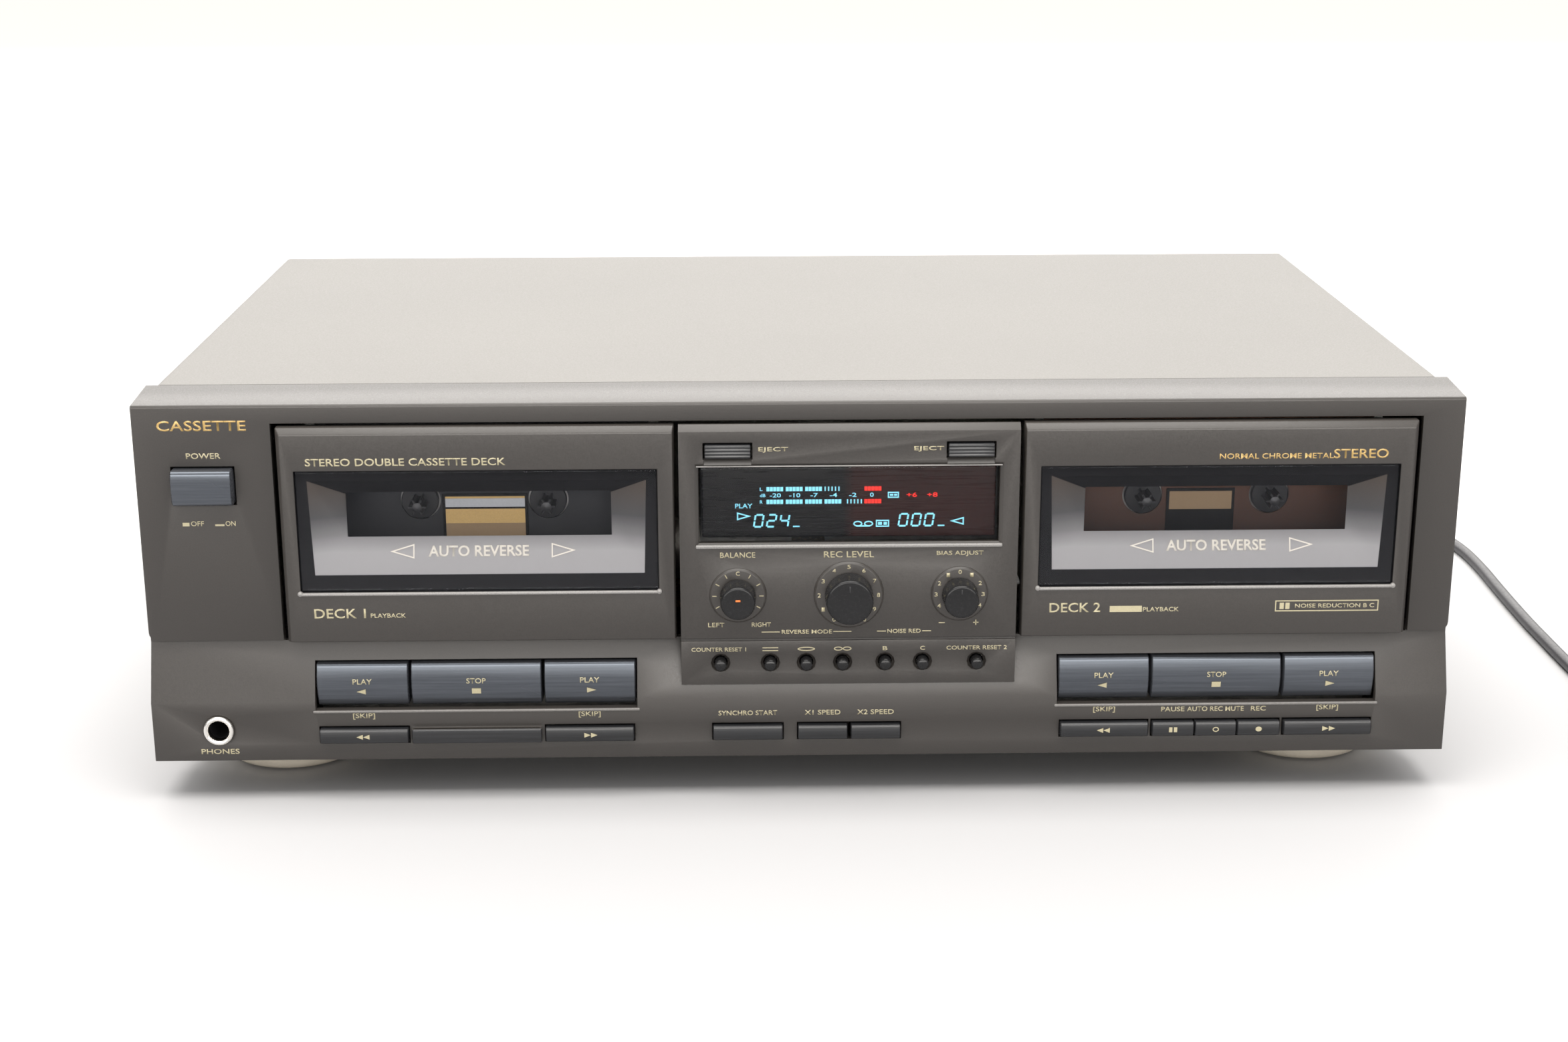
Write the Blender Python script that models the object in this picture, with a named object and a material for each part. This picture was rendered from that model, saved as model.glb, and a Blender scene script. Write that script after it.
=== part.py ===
"""Double auto-reverse cassette deck, modelled as the separate pieces it is assembled from.

Units are metres. X runs to the right seen from the front, Y runs to the back and Z runs up. The origin is the
bottom centre of the deck's own box, measured without the mains lead. A depth is given from the face plane,
the flat front of the upper frame, and FACE_Y is where that plane stands.
"""

import math

import bmesh
import bpy
from mathutils import Vector

# Clearances
GAP = 0.0003                    # between pieces that touch
KEY_GAP = 0.0006                # around a key in its opening
SHAFT_GAP = 0.0004              # around a turning shaft
CUT_REACH = 0.0100              # a cutter reaches this far past what it cuts

# Sides of the round pieces
LARGE_SIDES = 32                # feet, knobs, dials
ROUND_SIDES = 16                # jacks, spindles, flywheels
SMALL_SIDES = 12                # buttons, bores, posts

# Case
PANEL_WIDTH = 0.430
CASE_DEPTH = 0.2546             # face plane to the rear edge of the cover
CASE_HEIGHT = 0.1220            # underside of the case to the top of the cover
FOOT_CLEARANCE = 0.0140
PANEL_WALL = 0.0028
LIP_DEPTH = 0.0222              # run of the moulded top and side lips
LIP_FALL = 0.0016               # the front face ends this far below the cover's top
COVER_STEP = 0.0027             # the cover's side stands in from the panel's side
COVER_SHEET = 0.0010
CHASSIS_SHEET = 0.0012
REAR_RECESS = 0.0011            # rear wall inside the rear edge of the cover
FLANGE_HEIGHT = 0.0120
SLOT_COUNT = 5                  # vents in the chassis floor
SLOT_PITCH = 0.0080
SLOT_WIDTH = 0.0030
SLOT_LENGTH = 0.0450

# Front panel levels, from the underside of the case
STRIP_HEIGHT = 0.0205           # vertical strip with the thin keys
SLOPE_HEIGHT = 0.0190           # slope with the big keys
SLOPE_RUN = 0.0066              # depth that the slope gains
STRIP_PROUD = 0.0046            # the strip stands ahead of the face plane
FRAME_STEP = 0.0011             # underside of the upper frame above the slope

# Doors and centre panel
LEFT_STILE = 0.0442             # panel left of the door opening
RIGHT_STILE = 0.0135            # and right of it
TOP_RAIL = 0.0061               # face above the door opening
DOOR_SIDE_GAP = 0.0019
DOOR_TOP_GAP = 0.0009
DOOR_GAP = 0.0015
CENTRE_WIDTH = 0.1103
PANEL_PROUD = 0.0040            # doors and centre panel stand ahead of the face plane
EDGE_BEVEL = 0.0020
DOOR_BACK = 0.0022              # rear of the door plate behind the face plane
HINGE_RISE = 0.0025             # hinge line above the door's lower edge
DOOR_SWING_EDGE = 0.0014        # bevel of a door's outer upright edge

# Door window and the bevelled mask behind it
GLASS_INSET = 0.0057            # door beside the glass
GLASS_DROP = 0.0144             # door above the glass
GLASS_RISE = 0.0177             # door below the glass
GLASS_THICK = 0.0016
GLASS_RECESS = 0.0004
MASK_INSET = 0.0044             # mask's outer edge inside the glass, at the sides
MASK_LOW = 0.0050               # below
MASK_HIGH = 0.0038              # and above
MASK_SIDE_RUN = 0.0109
MASK_LOW_RUN = 0.0122
MASK_HIGH_RUN = 0.0048

# Cassette space
CASSETTE_WIDTH = 0.1004
CASSETTE_HEIGHT = 0.0638
CASSETTE_THICK = 0.0120
CASSETTE_FRONT = 0.0062         # front of a loaded cassette behind the face plane
CASSETTE_RISE = 0.0066          # its lower edge above the door's lower edge
HUB_SPACING = 0.0425
HUB_RISE = 0.0355               # hub centres above the cassette's lower edge
HOLDER_WALL = 0.0012
HOLDER_SIDE = 0.0030

# Transport
PLATE_FRONT = 0.0202            # transport plate behind the face plane
PLATE_THICK = 0.0015
PLATE_INSET = 0.0058            # inside the door's sides
MOTOR_RADIUS = 0.0150
MOTOR_LENGTH = 0.0240
FLYWHEEL_RADIUS = 0.0190
FLYWHEEL_THICK = 0.0070
SPINDLE_RADIUS = 0.0031
SPINDLE_SHAFT = 0.0020
HUB_FLANGE = 0.0062
HEAD_WIDTH = 0.0300
HEAD_HEIGHT = 0.0100
HEAD_DEPTH = 0.0090

# Centre panel fittings, from the centre line of that panel
DISPLAY_WIDTH = 0.0970
DISPLAY_HEIGHT = 0.0251
DISPLAY_RISE = 0.0334           # lower edge of the display window above the groove
DISPLAY_THICK = 0.0018
DISPLAY_BEVEL = 0.0015
DISPLAY_RECESS = 0.0011
GROOVE_WIDTH = 0.0010
GROOVE_DEPTH = 0.0008
CENTRE_WALL = 0.0030
EJECT_OFFSET = 0.0393
EJECT_WIDTH = 0.0154
EJECT_HEIGHT = 0.0044
EJECT_DROP = 0.0083             # centre of an eject key below the panel's top
SCOOP_HEIGHT = 0.0030
KNOB_OFFSET = 0.0363
KNOB_RISE = 0.0155              # knob axes above the groove
KNOB_PROUD = 0.0095
LEVEL_KNOB_RADIUS = 0.0079
SMALL_KNOB_RADIUS = 0.0059
LEVEL_DIAL_RADIUS = 0.0115
SMALL_DIAL_RADIUS = 0.0094
DIAL_PROUD = 0.0011
KNOB_SHAFT = 0.0030
BUTTON_DROP = 0.0081            # button axes below the groove
BUTTON_RADIUS = 0.00195
BUTTON_PROUD = 0.0034
BUTTON_DISH = 0.0034
BUTTON_OFFSETS = {
    "counter_reset_button_1": -0.0422,
    "one_way_button": -0.0258,
    "both_sides_button": -0.0139,
    "continuous_button": -0.0019,
    "noise_b_button": 0.0121,
    "noise_c_button": 0.0245,
    "counter_reset_button_2": 0.0424,
}

# Keys
BIG_KEY_WIDTHS = (0.0301, 0.0430, 0.0301)
BIG_KEY_HEIGHT = 0.0148
BIG_KEY_SPACE = 0.0010
BIG_KEY_DROP = 0.0024           # lower edge of the big keys below the fold
BIG_KEY_FACE = 0.0020           # their edges stand this far ahead of the face plane
BIG_KEY_BULGE = 0.0012
BIG_ROW_OFFSETS = (-0.0027, 0.0022)     # row centres from the deck centres
THIN_KEY_HEIGHT = 0.0050
THIN_KEY_RISE = 0.0088          # centre of the thin keys above the underside of the case
THIN_KEY_PROUD = 0.0020
RIB_WIDTH = 0.0013
SMALL_KEY_WIDTHS = (0.0140, 0.0138, 0.0142)
SYNCHRO_KEY = (-0.0180, 0.0232)
SPEED_KEYS = ((0.0070, 0.0168), (0.0243, 0.0168))
KEY_BACK = 0.0105               # rear of every key's stem behind the face plane
POWER_KEY_INSET = 0.0217        # centres of the power key and headphone jack from the panel's end
POWER_KEY_RISE = 0.0937
POWER_KEY_WIDTH = 0.0194
POWER_KEY_HEIGHT = 0.0118
POWER_KEY_PROUD = 0.0042

# Sockets, feet and inner parts
PHONES_RISE = 0.0108
PHONES_RING = 0.0051
PHONES_BORE = 0.0033
PHONES_PROUD = 0.0014
FOOT_RADIUS = 0.0245
FOOT_INSET_X = 0.0380           # foot centres from the panel's ends
FOOT_FRONT = 0.0420
FOOT_REAR = 0.0340              # rear foot centres ahead of the cover's rear edge
JACK_PROUD = 0.0080             # behind the rear edge of the cover
JACK_X = -0.1250
JACK_RISE = 0.0480
JACK_PITCH = 0.0140
JACK_RADIUS = 0.0042
BOARD_SIZE = (0.1700, 0.1150)
BOARD_X = -0.0700
BOARD_RISE = 0.0100
TRANSFORMER_SIZE = (0.0600, 0.0500, 0.0520)
TRANSFORMER_X = 0.1450
TRANSFORMER_BACK = 0.0360       # ahead of the rear wall

# Mains lead
CORD_DIAMETER = 0.0048
RELIEF_X = 0.1700
RELIEF_RISE = 0.0200
RELIEF_RADIUS = 0.0060
RELIEF_END = 0.0034
CORD_LEVEL = 0.00245            # centre of the lead where it lies on the floor
CORD_ROUTE = [                  # from the strain relief: X, depth from the face plane, Z
    (0.1700, 0.2829, 0.0340),
    (0.1700, 0.2930, 0.0338),
    (0.1706, 0.3040, 0.0305),
    (0.1735, 0.3160, 0.0205),
    (0.1795, 0.3275, 0.0095),
    (0.1895, 0.3370, 0.0035),
    (0.2035, 0.3430, CORD_LEVEL),
    (0.2220, 0.3445, CORD_LEVEL),
    (0.2430, 0.3390, CORD_LEVEL),
    (0.2625, 0.3275, CORD_LEVEL),
    (0.2790, 0.3110, CORD_LEVEL),
    (0.2910, 0.2910, CORD_LEVEL),
    (0.2980, 0.2700, CORD_LEVEL),
    (0.3007, 0.2500, CORD_LEVEL),
    (0.3008, 0.2270, CORD_LEVEL),
    (0.2996, 0.2020, CORD_LEVEL),
    (0.2985, 0.1770, CORD_LEVEL),
    (0.2978, 0.1540, CORD_LEVEL),
    (0.2976, 0.1340, CORD_LEVEL),
    (0.2975, 0.1140, CORD_LEVEL),
    (0.2975, 0.0953, CORD_LEVEL),
]
COIL_INNER = 0.0192             # radius of the innermost turn
COIL_OUTER = 0.0348             # radius of the outermost turn
COIL_LAYERS = 2
COIL_DEPTH = 0.0750             # centre of the coil from the face plane
STUB_LENGTH = 0.0200            # straight ends of the coil
PLUG_TAIL = 0.0180
PLUG_BODY = 0.0280
PLUG_WIDTH = 0.0250
PLUG_THICK = 0.0137
PIN_LENGTH = 0.0185
PIN_RADIUS = 0.0020
PIN_SPACING = 0.0186

# Levels and depths that follow
FRONT_REACH = PANEL_PROUD + KNOB_PROUD
REAR_REACH = CASE_DEPTH + JACK_PROUD
FACE_Y = FRONT_REACH - (FRONT_REACH + REAR_REACH) / 2
CASE_Z = FOOT_CLEARANCE
CASE_TOP = CASE_Z + CASE_HEIGHT
FACE_TOP = CASE_TOP - LIP_FALL
FOLD_Z = CASE_Z + STRIP_HEIGHT
SLOPE_TOP = FOLD_Z + SLOPE_HEIGHT
SLOPE_BACK = SLOPE_RUN - STRIP_PROUD
FRAME_BOTTOM = SLOPE_TOP + FRAME_STEP
DOOR_Z = FRAME_BOTTOM + GAP
OPENING_TOP = FACE_TOP - TOP_RAIL
DOOR_TOP = OPENING_TOP - DOOR_TOP_GAP
DOOR_HEIGHT = DOOR_TOP - DOOR_Z
GLASS_Z = DOOR_Z + GLASS_RISE
GLASS_HEIGHT = DOOR_HEIGHT - GLASS_RISE - GLASS_DROP
GROOVE_Z = DOOR_Z
HINGE_Z = DOOR_Z + HINGE_RISE
CASSETTE_Z = DOOR_Z + CASSETTE_RISE
HUB_Z = CASSETTE_Z + HUB_RISE
HALF_WIDTH = PANEL_WIDTH / 2
COVER_HALF = HALF_WIDTH - COVER_STEP
CHASSIS_HALF = COVER_HALF - COVER_SHEET - GAP
REAR_WALL = CASE_DEPTH - REAR_RECESS
OPENING_LEFT = LEFT_STILE - HALF_WIDTH
OPENING_RIGHT = HALF_WIDTH - RIGHT_STILE
DOOR_WIDTH = (OPENING_RIGHT - OPENING_LEFT - CENTRE_WIDTH) / 2 - DOOR_SIDE_GAP - DOOR_GAP
GLASS_WIDTH = DOOR_WIDTH - 2 * GLASS_INSET
MASK_WIDTH = GLASS_WIDTH - 2 * MASK_INSET
PLATE_WIDTH = DOOR_WIDTH - 2 * PLATE_INSET
DOOR_1_X = OPENING_LEFT + DOOR_SIDE_GAP
CENTRE_LEFT = DOOR_1_X + DOOR_WIDTH + DOOR_GAP
CENTRE_RIGHT = CENTRE_LEFT + CENTRE_WIDTH
DOOR_2_X = CENTRE_RIGHT + DOOR_GAP
CENTRE_X = (CENTRE_LEFT + CENTRE_RIGHT) / 2
DECK_CENTRES = (DOOR_1_X + DOOR_WIDTH / 2, DOOR_2_X + DOOR_WIDTH / 2)
END_X = POWER_KEY_INSET - HALF_WIDTH
COIL_X = CORD_ROUTE[-1][0] + COIL_OUTER


# Materials

def material(name, color, roughness, metallic=0.0):
    made = bpy.data.materials.new(name)
    made.use_nodes = True
    shader = made.node_tree.nodes["Principled BSDF"]
    shader.inputs["Base Color"].default_value = (*color, 1.0)
    shader.inputs["Roughness"].default_value = roughness
    shader.inputs["Metallic"].default_value = metallic
    made.diffuse_color = (*color, 1.0)
    return made


def make_materials():
    return {
        "panel_plastic": material("panel_plastic", (0.075, 0.070, 0.062), 0.45),
        "cover_paint": material("cover_paint", (0.090, 0.085, 0.078), 0.50),
        "key_plastic": material("key_plastic", (0.030, 0.031, 0.035), 0.30),
        "smoked_glass": material("smoked_glass", (0.020, 0.018, 0.018), 0.08),
        "zinc_steel": material("zinc_steel", (0.55, 0.54, 0.50), 0.40, 1.0),
        "black_plastic": material("black_plastic", (0.015, 0.015, 0.016), 0.50),
        "foot_metal": material("foot_metal", (0.55, 0.50, 0.42), 0.35, 0.6),
        "nickel": material("nickel", (0.60, 0.57, 0.52), 0.25, 1.0),
        "board": material("board", (0.18, 0.12, 0.05), 0.60),
        "core_steel": material("core_steel", (0.20, 0.19, 0.18), 0.55, 0.8),
        "cord_rubber": material("cord_rubber", (0.020, 0.019, 0.022), 0.55),
    }


# Shape helpers

def rectangle(low_a, high_a, low_b, high_b):
    return [(low_a, low_b), (high_a, low_b), (high_a, high_b), (low_a, high_b)]


def prism(bm, outline, axis, start, stop):
    """Extrudes a closed outline along an axis; its pairs are the other two axes, in X, Y, Z order."""
    verts = []
    for pair in outline:
        point = list(pair)
        point.insert(axis, start)
        verts.append(bm.verts.new(point))
    face = bm.faces.new(verts)
    moved = bmesh.ops.extrude_face_region(bm, geom=[face])["geom"]
    shift = Vector()
    shift[axis] = stop - start
    corners = [item for item in moved if isinstance(item, bmesh.types.BMVert)]
    bmesh.ops.translate(bm, vec=shift, verts=corners)


def block(bm, x, y, z):
    """A box between pairs of X, depth from the face plane, and Z."""
    prism(bm, rectangle(*x, *z), 1, FACE_Y + y[0], FACE_Y + y[1])


def loft(bm, rings):
    """Joins rectangles one behind another: each is a depth and its low and high X and Z."""
    rows = []
    for depth, x0, x1, z0, z1 in rings:
        corners = ((x0, z0), (x1, z0), (x1, z1), (x0, z1))
        rows.append([bm.verts.new((x, FACE_Y + depth, z)) for x, z in corners])
    for near, far in zip(rows, rows[1:]):
        for side in range(4):
            after = (side + 1) % 4
            bm.faces.new((near[side], near[after], far[after], far[side]))
    bm.faces.new(rows[0])
    bm.faces.new(reversed(rows[-1]))


def turned(bm, profile, centre, axis, steps, closed=False):
    """Spins pairs of radius and distance along the axis about an axis through the centre."""
    direction = Vector((0, 0, 0))
    direction[axis] = 1.0
    outward = Vector((1, 0, 0)) if axis != 0 else Vector((0, 1, 0))
    verts = [bm.verts.new(Vector(centre) + outward * r + direction * along) for r, along in profile]
    pairs = list(zip(verts, verts[1:]))
    if closed:
        pairs.append((verts[-1], verts[0]))
    edges = [bm.edges.new(pair) for pair in pairs]
    bmesh.ops.spin(
        bm, geom=verts + edges, cent=centre, axis=direction, dvec=(0, 0, 0), angle=2 * math.pi, steps=steps
    )
    bmesh.ops.remove_doubles(bm, verts=bm.verts, dist=1e-6)


def arc(centre_a, centre_b, radius, start, stop, steps):
    """Points of an arc in degrees."""
    points = []
    for step in range(steps + 1):
        angle = math.radians(start + (stop - start) * step / steps)
        points.append((centre_a + radius * math.cos(angle), centre_b + radius * math.sin(angle)))
    return points


def add_object(name, bm, surface=None, smooth=None):
    bmesh.ops.recalc_face_normals(bm, faces=bm.faces)
    mesh = bpy.data.meshes.new(name)
    bm.to_mesh(mesh)
    bm.free()
    if surface:
        mesh.materials.append(surface)
    if smooth:
        mesh.shade_smooth()
        mesh.set_sharp_from_angle(angle=math.radians(smooth))
    made = bpy.data.objects.new(name, mesh)
    bpy.context.scene.collection.objects.link(made)
    return made


def shape(name, surface, *builders, smooth=None):
    """One object from functions that each add a closed shape to it."""
    bm = bmesh.new()
    for build in builders:
        build(bm)
    return add_object(name, bm, surface, smooth)


def combine(target, operation, *builders):
    """A Boolean modifier on the target, with a helper object that holds the other shapes."""
    bm = bmesh.new()
    for build in builders:
        build(bm)
    helper = add_object(f"{target.name}_{operation.lower()}_{len(target.modifiers)}", bm)
    helper.hide_render = True
    helper.display_type = "WIRE"
    boolean = target.modifiers.new(f"{operation.title()} {len(target.modifiers)}", "BOOLEAN")
    boolean.operation = operation
    boolean.solver = "EXACT"
    boolean.object = helper


def soften(target, width, segments=1):
    bevel = target.modifiers.new("Bevel", "BEVEL")
    bevel.width = width
    bevel.segments = segments
    bevel.limit_method = "ANGLE"
    bevel.angle_limit = math.radians(50)


def pivot(target, point):
    """Moves the object's origin to a point, so that it turns or slides from there."""
    target.data.transform(target.matrix_world.Translation(-Vector(point)))
    target.location = point


def at(x, depth, z):
    return (x, FACE_Y + depth, z)


def hole_through(x, depth, z, radius):
    """A cutter for a round hole along Y."""
    profile = [(0, -CUT_REACH), (radius, -CUT_REACH), (radius, CUT_REACH), (0, CUT_REACH)]
    return lambda bm: turned(bm, profile, at(x, depth, z), 1, ROUND_SIDES)


def slope_depth(z):
    """Depth of the sloping face at a height."""
    return SLOPE_BACK - (SLOPE_TOP - z) * SLOPE_RUN / SLOPE_HEIGHT


# Places of the keys, which the panel's openings follow

def key_z():
    low = FOLD_Z - BIG_KEY_DROP
    return low, low + BIG_KEY_HEIGHT


def thin_key_z():
    middle = CASE_Z + THIN_KEY_RISE
    return middle - THIN_KEY_HEIGHT / 2, middle + THIN_KEY_HEIGHT / 2


def big_keys(deck):
    """Left and right edges of the three big keys of a deck."""
    total = sum(BIG_KEY_WIDTHS) + BIG_KEY_SPACE * (len(BIG_KEY_WIDTHS) - 1)
    left = DECK_CENTRES[deck] + BIG_ROW_OFFSETS[deck] - total / 2
    edges = []
    for width in BIG_KEY_WIDTHS:
        edges.append((left, left + width))
        left += width + BIG_KEY_SPACE
    return edges


def thin_keys(deck):
    """Edges of the thin keys below: rewind, whatever stands in the middle, and fast forward."""
    first, _, last = big_keys(deck)
    rib_1 = centred(first[1] + BIG_KEY_SPACE / 2, RIB_WIDTH)
    rib_2 = centred(last[0] - BIG_KEY_SPACE / 2, RIB_WIDTH)
    left_key = (first[0] + KEY_GAP, rib_1[0])
    middle_space = (rib_1[1], rib_2[0])
    right_key = (rib_2[1], last[1] - KEY_GAP)
    return left_key, middle_space, right_key


def middle_keys():
    """Edges of pause, mute and record in the second deck's middle opening."""
    left, right = thin_keys(1)[1]
    space = (right - left - sum(SMALL_KEY_WIDTHS)) / (len(SMALL_KEY_WIDTHS) - 1)
    edges = []
    for width in SMALL_KEY_WIDTHS:
        edges.append((left, left + width))
        left += width + space
    return edges


def centred(middle, width):
    return middle - width / 2, middle + width / 2


def grown(pair, amount):
    return pair[0] - amount, pair[1] + amount


# Case pieces

def make_front_panel(surface):
    wall = PANEL_WALL
    rim = 0.0010
    outline = [
        (FACE_Y - STRIP_PROUD, CASE_Z),
        (FACE_Y - STRIP_PROUD, FOLD_Z),
        (FACE_Y + SLOPE_BACK, SLOPE_TOP),
        (FACE_Y + SLOPE_BACK, FRAME_BOTTOM),
        (FACE_Y, FRAME_BOTTOM),
        *arc(FACE_Y + rim, FACE_TOP - rim, rim, 180, 94, 4),
        (FACE_Y + LIP_DEPTH, CASE_TOP),
        (FACE_Y + LIP_DEPTH, CASE_Z),
    ]
    panel = shape("front_panel", surface, lambda bm: prism(bm, outline, 0, -HALF_WIDTH, HALF_WIDTH))
    hollow = [
        (FACE_Y - STRIP_PROUD + wall, CASE_Z + wall),
        (FACE_Y - STRIP_PROUD + wall, FOLD_Z),
        (FACE_Y + SLOPE_BACK + wall, SLOPE_TOP),
        (FACE_Y + SLOPE_BACK + wall, FRAME_BOTTOM + wall),
        (FACE_Y + wall, FRAME_BOTTOM + wall),
        (FACE_Y + wall, FACE_TOP - wall),
        (FACE_Y + LIP_DEPTH + wall, FACE_TOP - wall),
        (FACE_Y + LIP_DEPTH + wall, CASE_Z + wall),
    ]
    combine(panel, "DIFFERENCE", lambda bm: prism(bm, hollow, 0, -HALF_WIDTH + wall, HALF_WIDTH - wall))

    through = (-0.0100, 0.0100)
    low, high = key_z()
    thin = grown(thin_key_z(), KEY_GAP)
    margin = 0.0025
    opening_x = (OPENING_LEFT, OPENING_RIGHT)
    opening_z = (SLOPE_TOP + 0.0005, OPENING_TOP)
    combine(panel, "DIFFERENCE", lambda bm: block(bm, opening_x, through, opening_z))
    lower_x = (CENTRE_LEFT + margin, CENTRE_RIGHT - margin)
    lower_z = (GROOVE_Z - 0.0125, SLOPE_TOP + 0.0030)
    combine(panel, "DIFFERENCE", lambda bm: block(bm, lower_x, through, lower_z))
    cuts = [lambda bm: block(bm, grown(centred(END_X, POWER_KEY_WIDTH), KEY_GAP), through, power_window())]
    cuts.append(hole_through(END_X, 0, CASE_Z + PHONES_RISE, PHONES_RING - 0.0004))
    for deck in range(2):
        row = big_keys(deck)
        row_edges = grown((row[0][0], row[-1][1]), KEY_GAP)
        cuts.append(lambda bm, x=row_edges: block(bm, x, through, grown((low, high), KEY_GAP)))
        left_key, middle, right_key = thin_keys(deck)
        spans = [left_key, right_key] if deck == 0 else [left_key, middle, right_key]
        for span in spans:
            cuts.append(lambda bm, x=grown(span, KEY_GAP / 2): block(bm, x, through, thin))
    speed_span = (SPEED_KEYS[0][0] - SPEED_KEYS[0][1] / 2, SPEED_KEYS[1][0] + SPEED_KEYS[1][1] / 2)
    for span in (centred(*SYNCHRO_KEY), speed_span):
        cuts.append(lambda bm, x=grown(span, KEY_GAP / 2): block(bm, x, through, thin))
    combine(panel, "DIFFERENCE", *cuts)

    left, right = thin_keys(0)[1]
    bar = (FACE_Y - STRIP_PROUD - THIN_KEY_PROUD, FACE_Y - STRIP_PROUD + 0.0010)
    combine(panel, "UNION", lambda bm: prism(bm, rectangle(left, right, *thin_key_z()), 1, *bar))
    corner = 0.0030
    front, back = FACE_Y - 0.0010, FACE_Y + SLOPE_BACK
    for side in (-1, 1):
        combine(panel, "DIFFERENCE", lambda bm, s=side: prism(bm, corner_cut(s, corner), 1, front, back))


def corner_cut(side, radius):
    """What a round lower corner of the upper frame leaves out, on the left (-1) or the right (1)."""
    outer = side * (HALF_WIDTH + 0.001)
    edge = side * (HALF_WIDTH - radius)
    curve = [(edge + side * a, b) for a, b in arc(0, FRAME_BOTTOM + radius, radius, -90, 0, 5)]
    below = FRAME_BOTTOM - 0.0010
    return [(edge, below), *curve, (outer, FRAME_BOTTOM + radius), (outer, below)]


def power_window():
    middle = CASE_Z + POWER_KEY_RISE
    return grown(centred(middle, POWER_KEY_HEIGHT), KEY_GAP)


def make_top_cover(surface):
    """A sheet bent over the case: the top and both sides, with round bends."""
    bend = 0.0020
    front = FACE_Y + LIP_DEPTH + GAP
    low = CASE_Z + GAP
    outer = [
        (-COVER_HALF, low),
        *arc(-COVER_HALF + bend, CASE_TOP - bend, bend, 180, 90, 4),
        *arc(COVER_HALF - bend, CASE_TOP - bend, bend, 90, 0, 4),
        (COVER_HALF, low),
    ]
    sheet = COVER_SHEET
    inner = [
        (COVER_HALF - sheet, low),
        *arc(COVER_HALF - bend, CASE_TOP - bend, bend - sheet, 0, 90, 4),
        *arc(-COVER_HALF + bend, CASE_TOP - bend, bend - sheet, 90, 180, 4),
        (-COVER_HALF + sheet, low),
    ]
    shape("top_cover", surface, lambda bm: prism(bm, outer + inner, 1, front, FACE_Y + CASE_DEPTH))


def make_chassis(surface):
    front = LIP_DEPTH + GAP
    sheet = CHASSIS_SHEET
    top = CASE_TOP - COVER_SHEET - GAP
    half = CHASSIS_HALF
    tray_y = (front, REAR_WALL)
    tray = shape("chassis_tray", surface, lambda bm: block(bm, (-half, half), tray_y, (CASE_Z, top)))
    past = CUT_REACH
    inner_x = (-half + sheet, half - sheet)
    inner_y = (front - past, REAR_WALL - sheet)
    inner_z = (CASE_Z + sheet, top + past)
    combine(tray, "DIFFERENCE", lambda bm: block(bm, inner_x, inner_y, inner_z))
    upper_x = (-half - past, half + past)
    upper_y = (front - past, REAR_WALL - FLANGE_HEIGHT)
    upper_z = (CASE_Z + FLANGE_HEIGHT, top + past)
    combine(tray, "DIFFERENCE", lambda bm: block(bm, upper_x, upper_y, upper_z))
    cuts = [hole_through(RELIEF_X, REAR_WALL, CASE_Z + RELIEF_RISE, RELIEF_RADIUS - 0.0010 + GAP)]
    for x, z in jack_places():
        cuts.append(hole_through(x, REAR_WALL, z, JACK_RADIUS + GAP))
    slot_y = (REAR_WALL - TRANSFORMER_BACK - SLOT_LENGTH, REAR_WALL - TRANSFORMER_BACK)
    slot_z = (CASE_Z - past, CASE_Z + past)
    for index in range(SLOT_COUNT):
        x = TRANSFORMER_X - TRANSFORMER_SIZE[0] / 2 - (index + 2) * SLOT_PITCH
        cuts.append(lambda bm, x=x: block(bm, (x, x + SLOT_WIDTH), slot_y, slot_z))
    combine(tray, "DIFFERENCE", *cuts)


def jack_places():
    """X and Z of the line jacks."""
    half = JACK_PITCH / 2
    middle = CASE_Z + JACK_RISE
    return [(JACK_X + column * half, middle + row * half) for row in (-1, 1) for column in (-1, 1)]


def make_feet(surface):
    top = CASE_Z - GAP
    edge = 0.0035
    profile = [
        (0, 0),
        (FOOT_RADIUS - edge, 0),
        *arc(FOOT_RADIUS - edge, edge, edge, -60, 0, 3),
        (FOOT_RADIUS, top - 0.0006),
        (FOOT_RADIUS - 0.0006, top),
        (0, top),
    ]
    places = {
        "foot_front_left": (-1, FOOT_FRONT),
        "foot_front_right": (1, FOOT_FRONT),
        "foot_rear_left": (-1, CASE_DEPTH - FOOT_REAR),
        "foot_rear_right": (1, CASE_DEPTH - FOOT_REAR),
    }
    for name, (side, depth) in places.items():
        centre = at(side * (HALF_WIDTH - FOOT_INSET_X), depth, 0)
        shape(name, surface, lambda bm: turned(bm, profile, centre, 2, LARGE_SIDES), smooth=35)


# Doors and what rides on them

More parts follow.
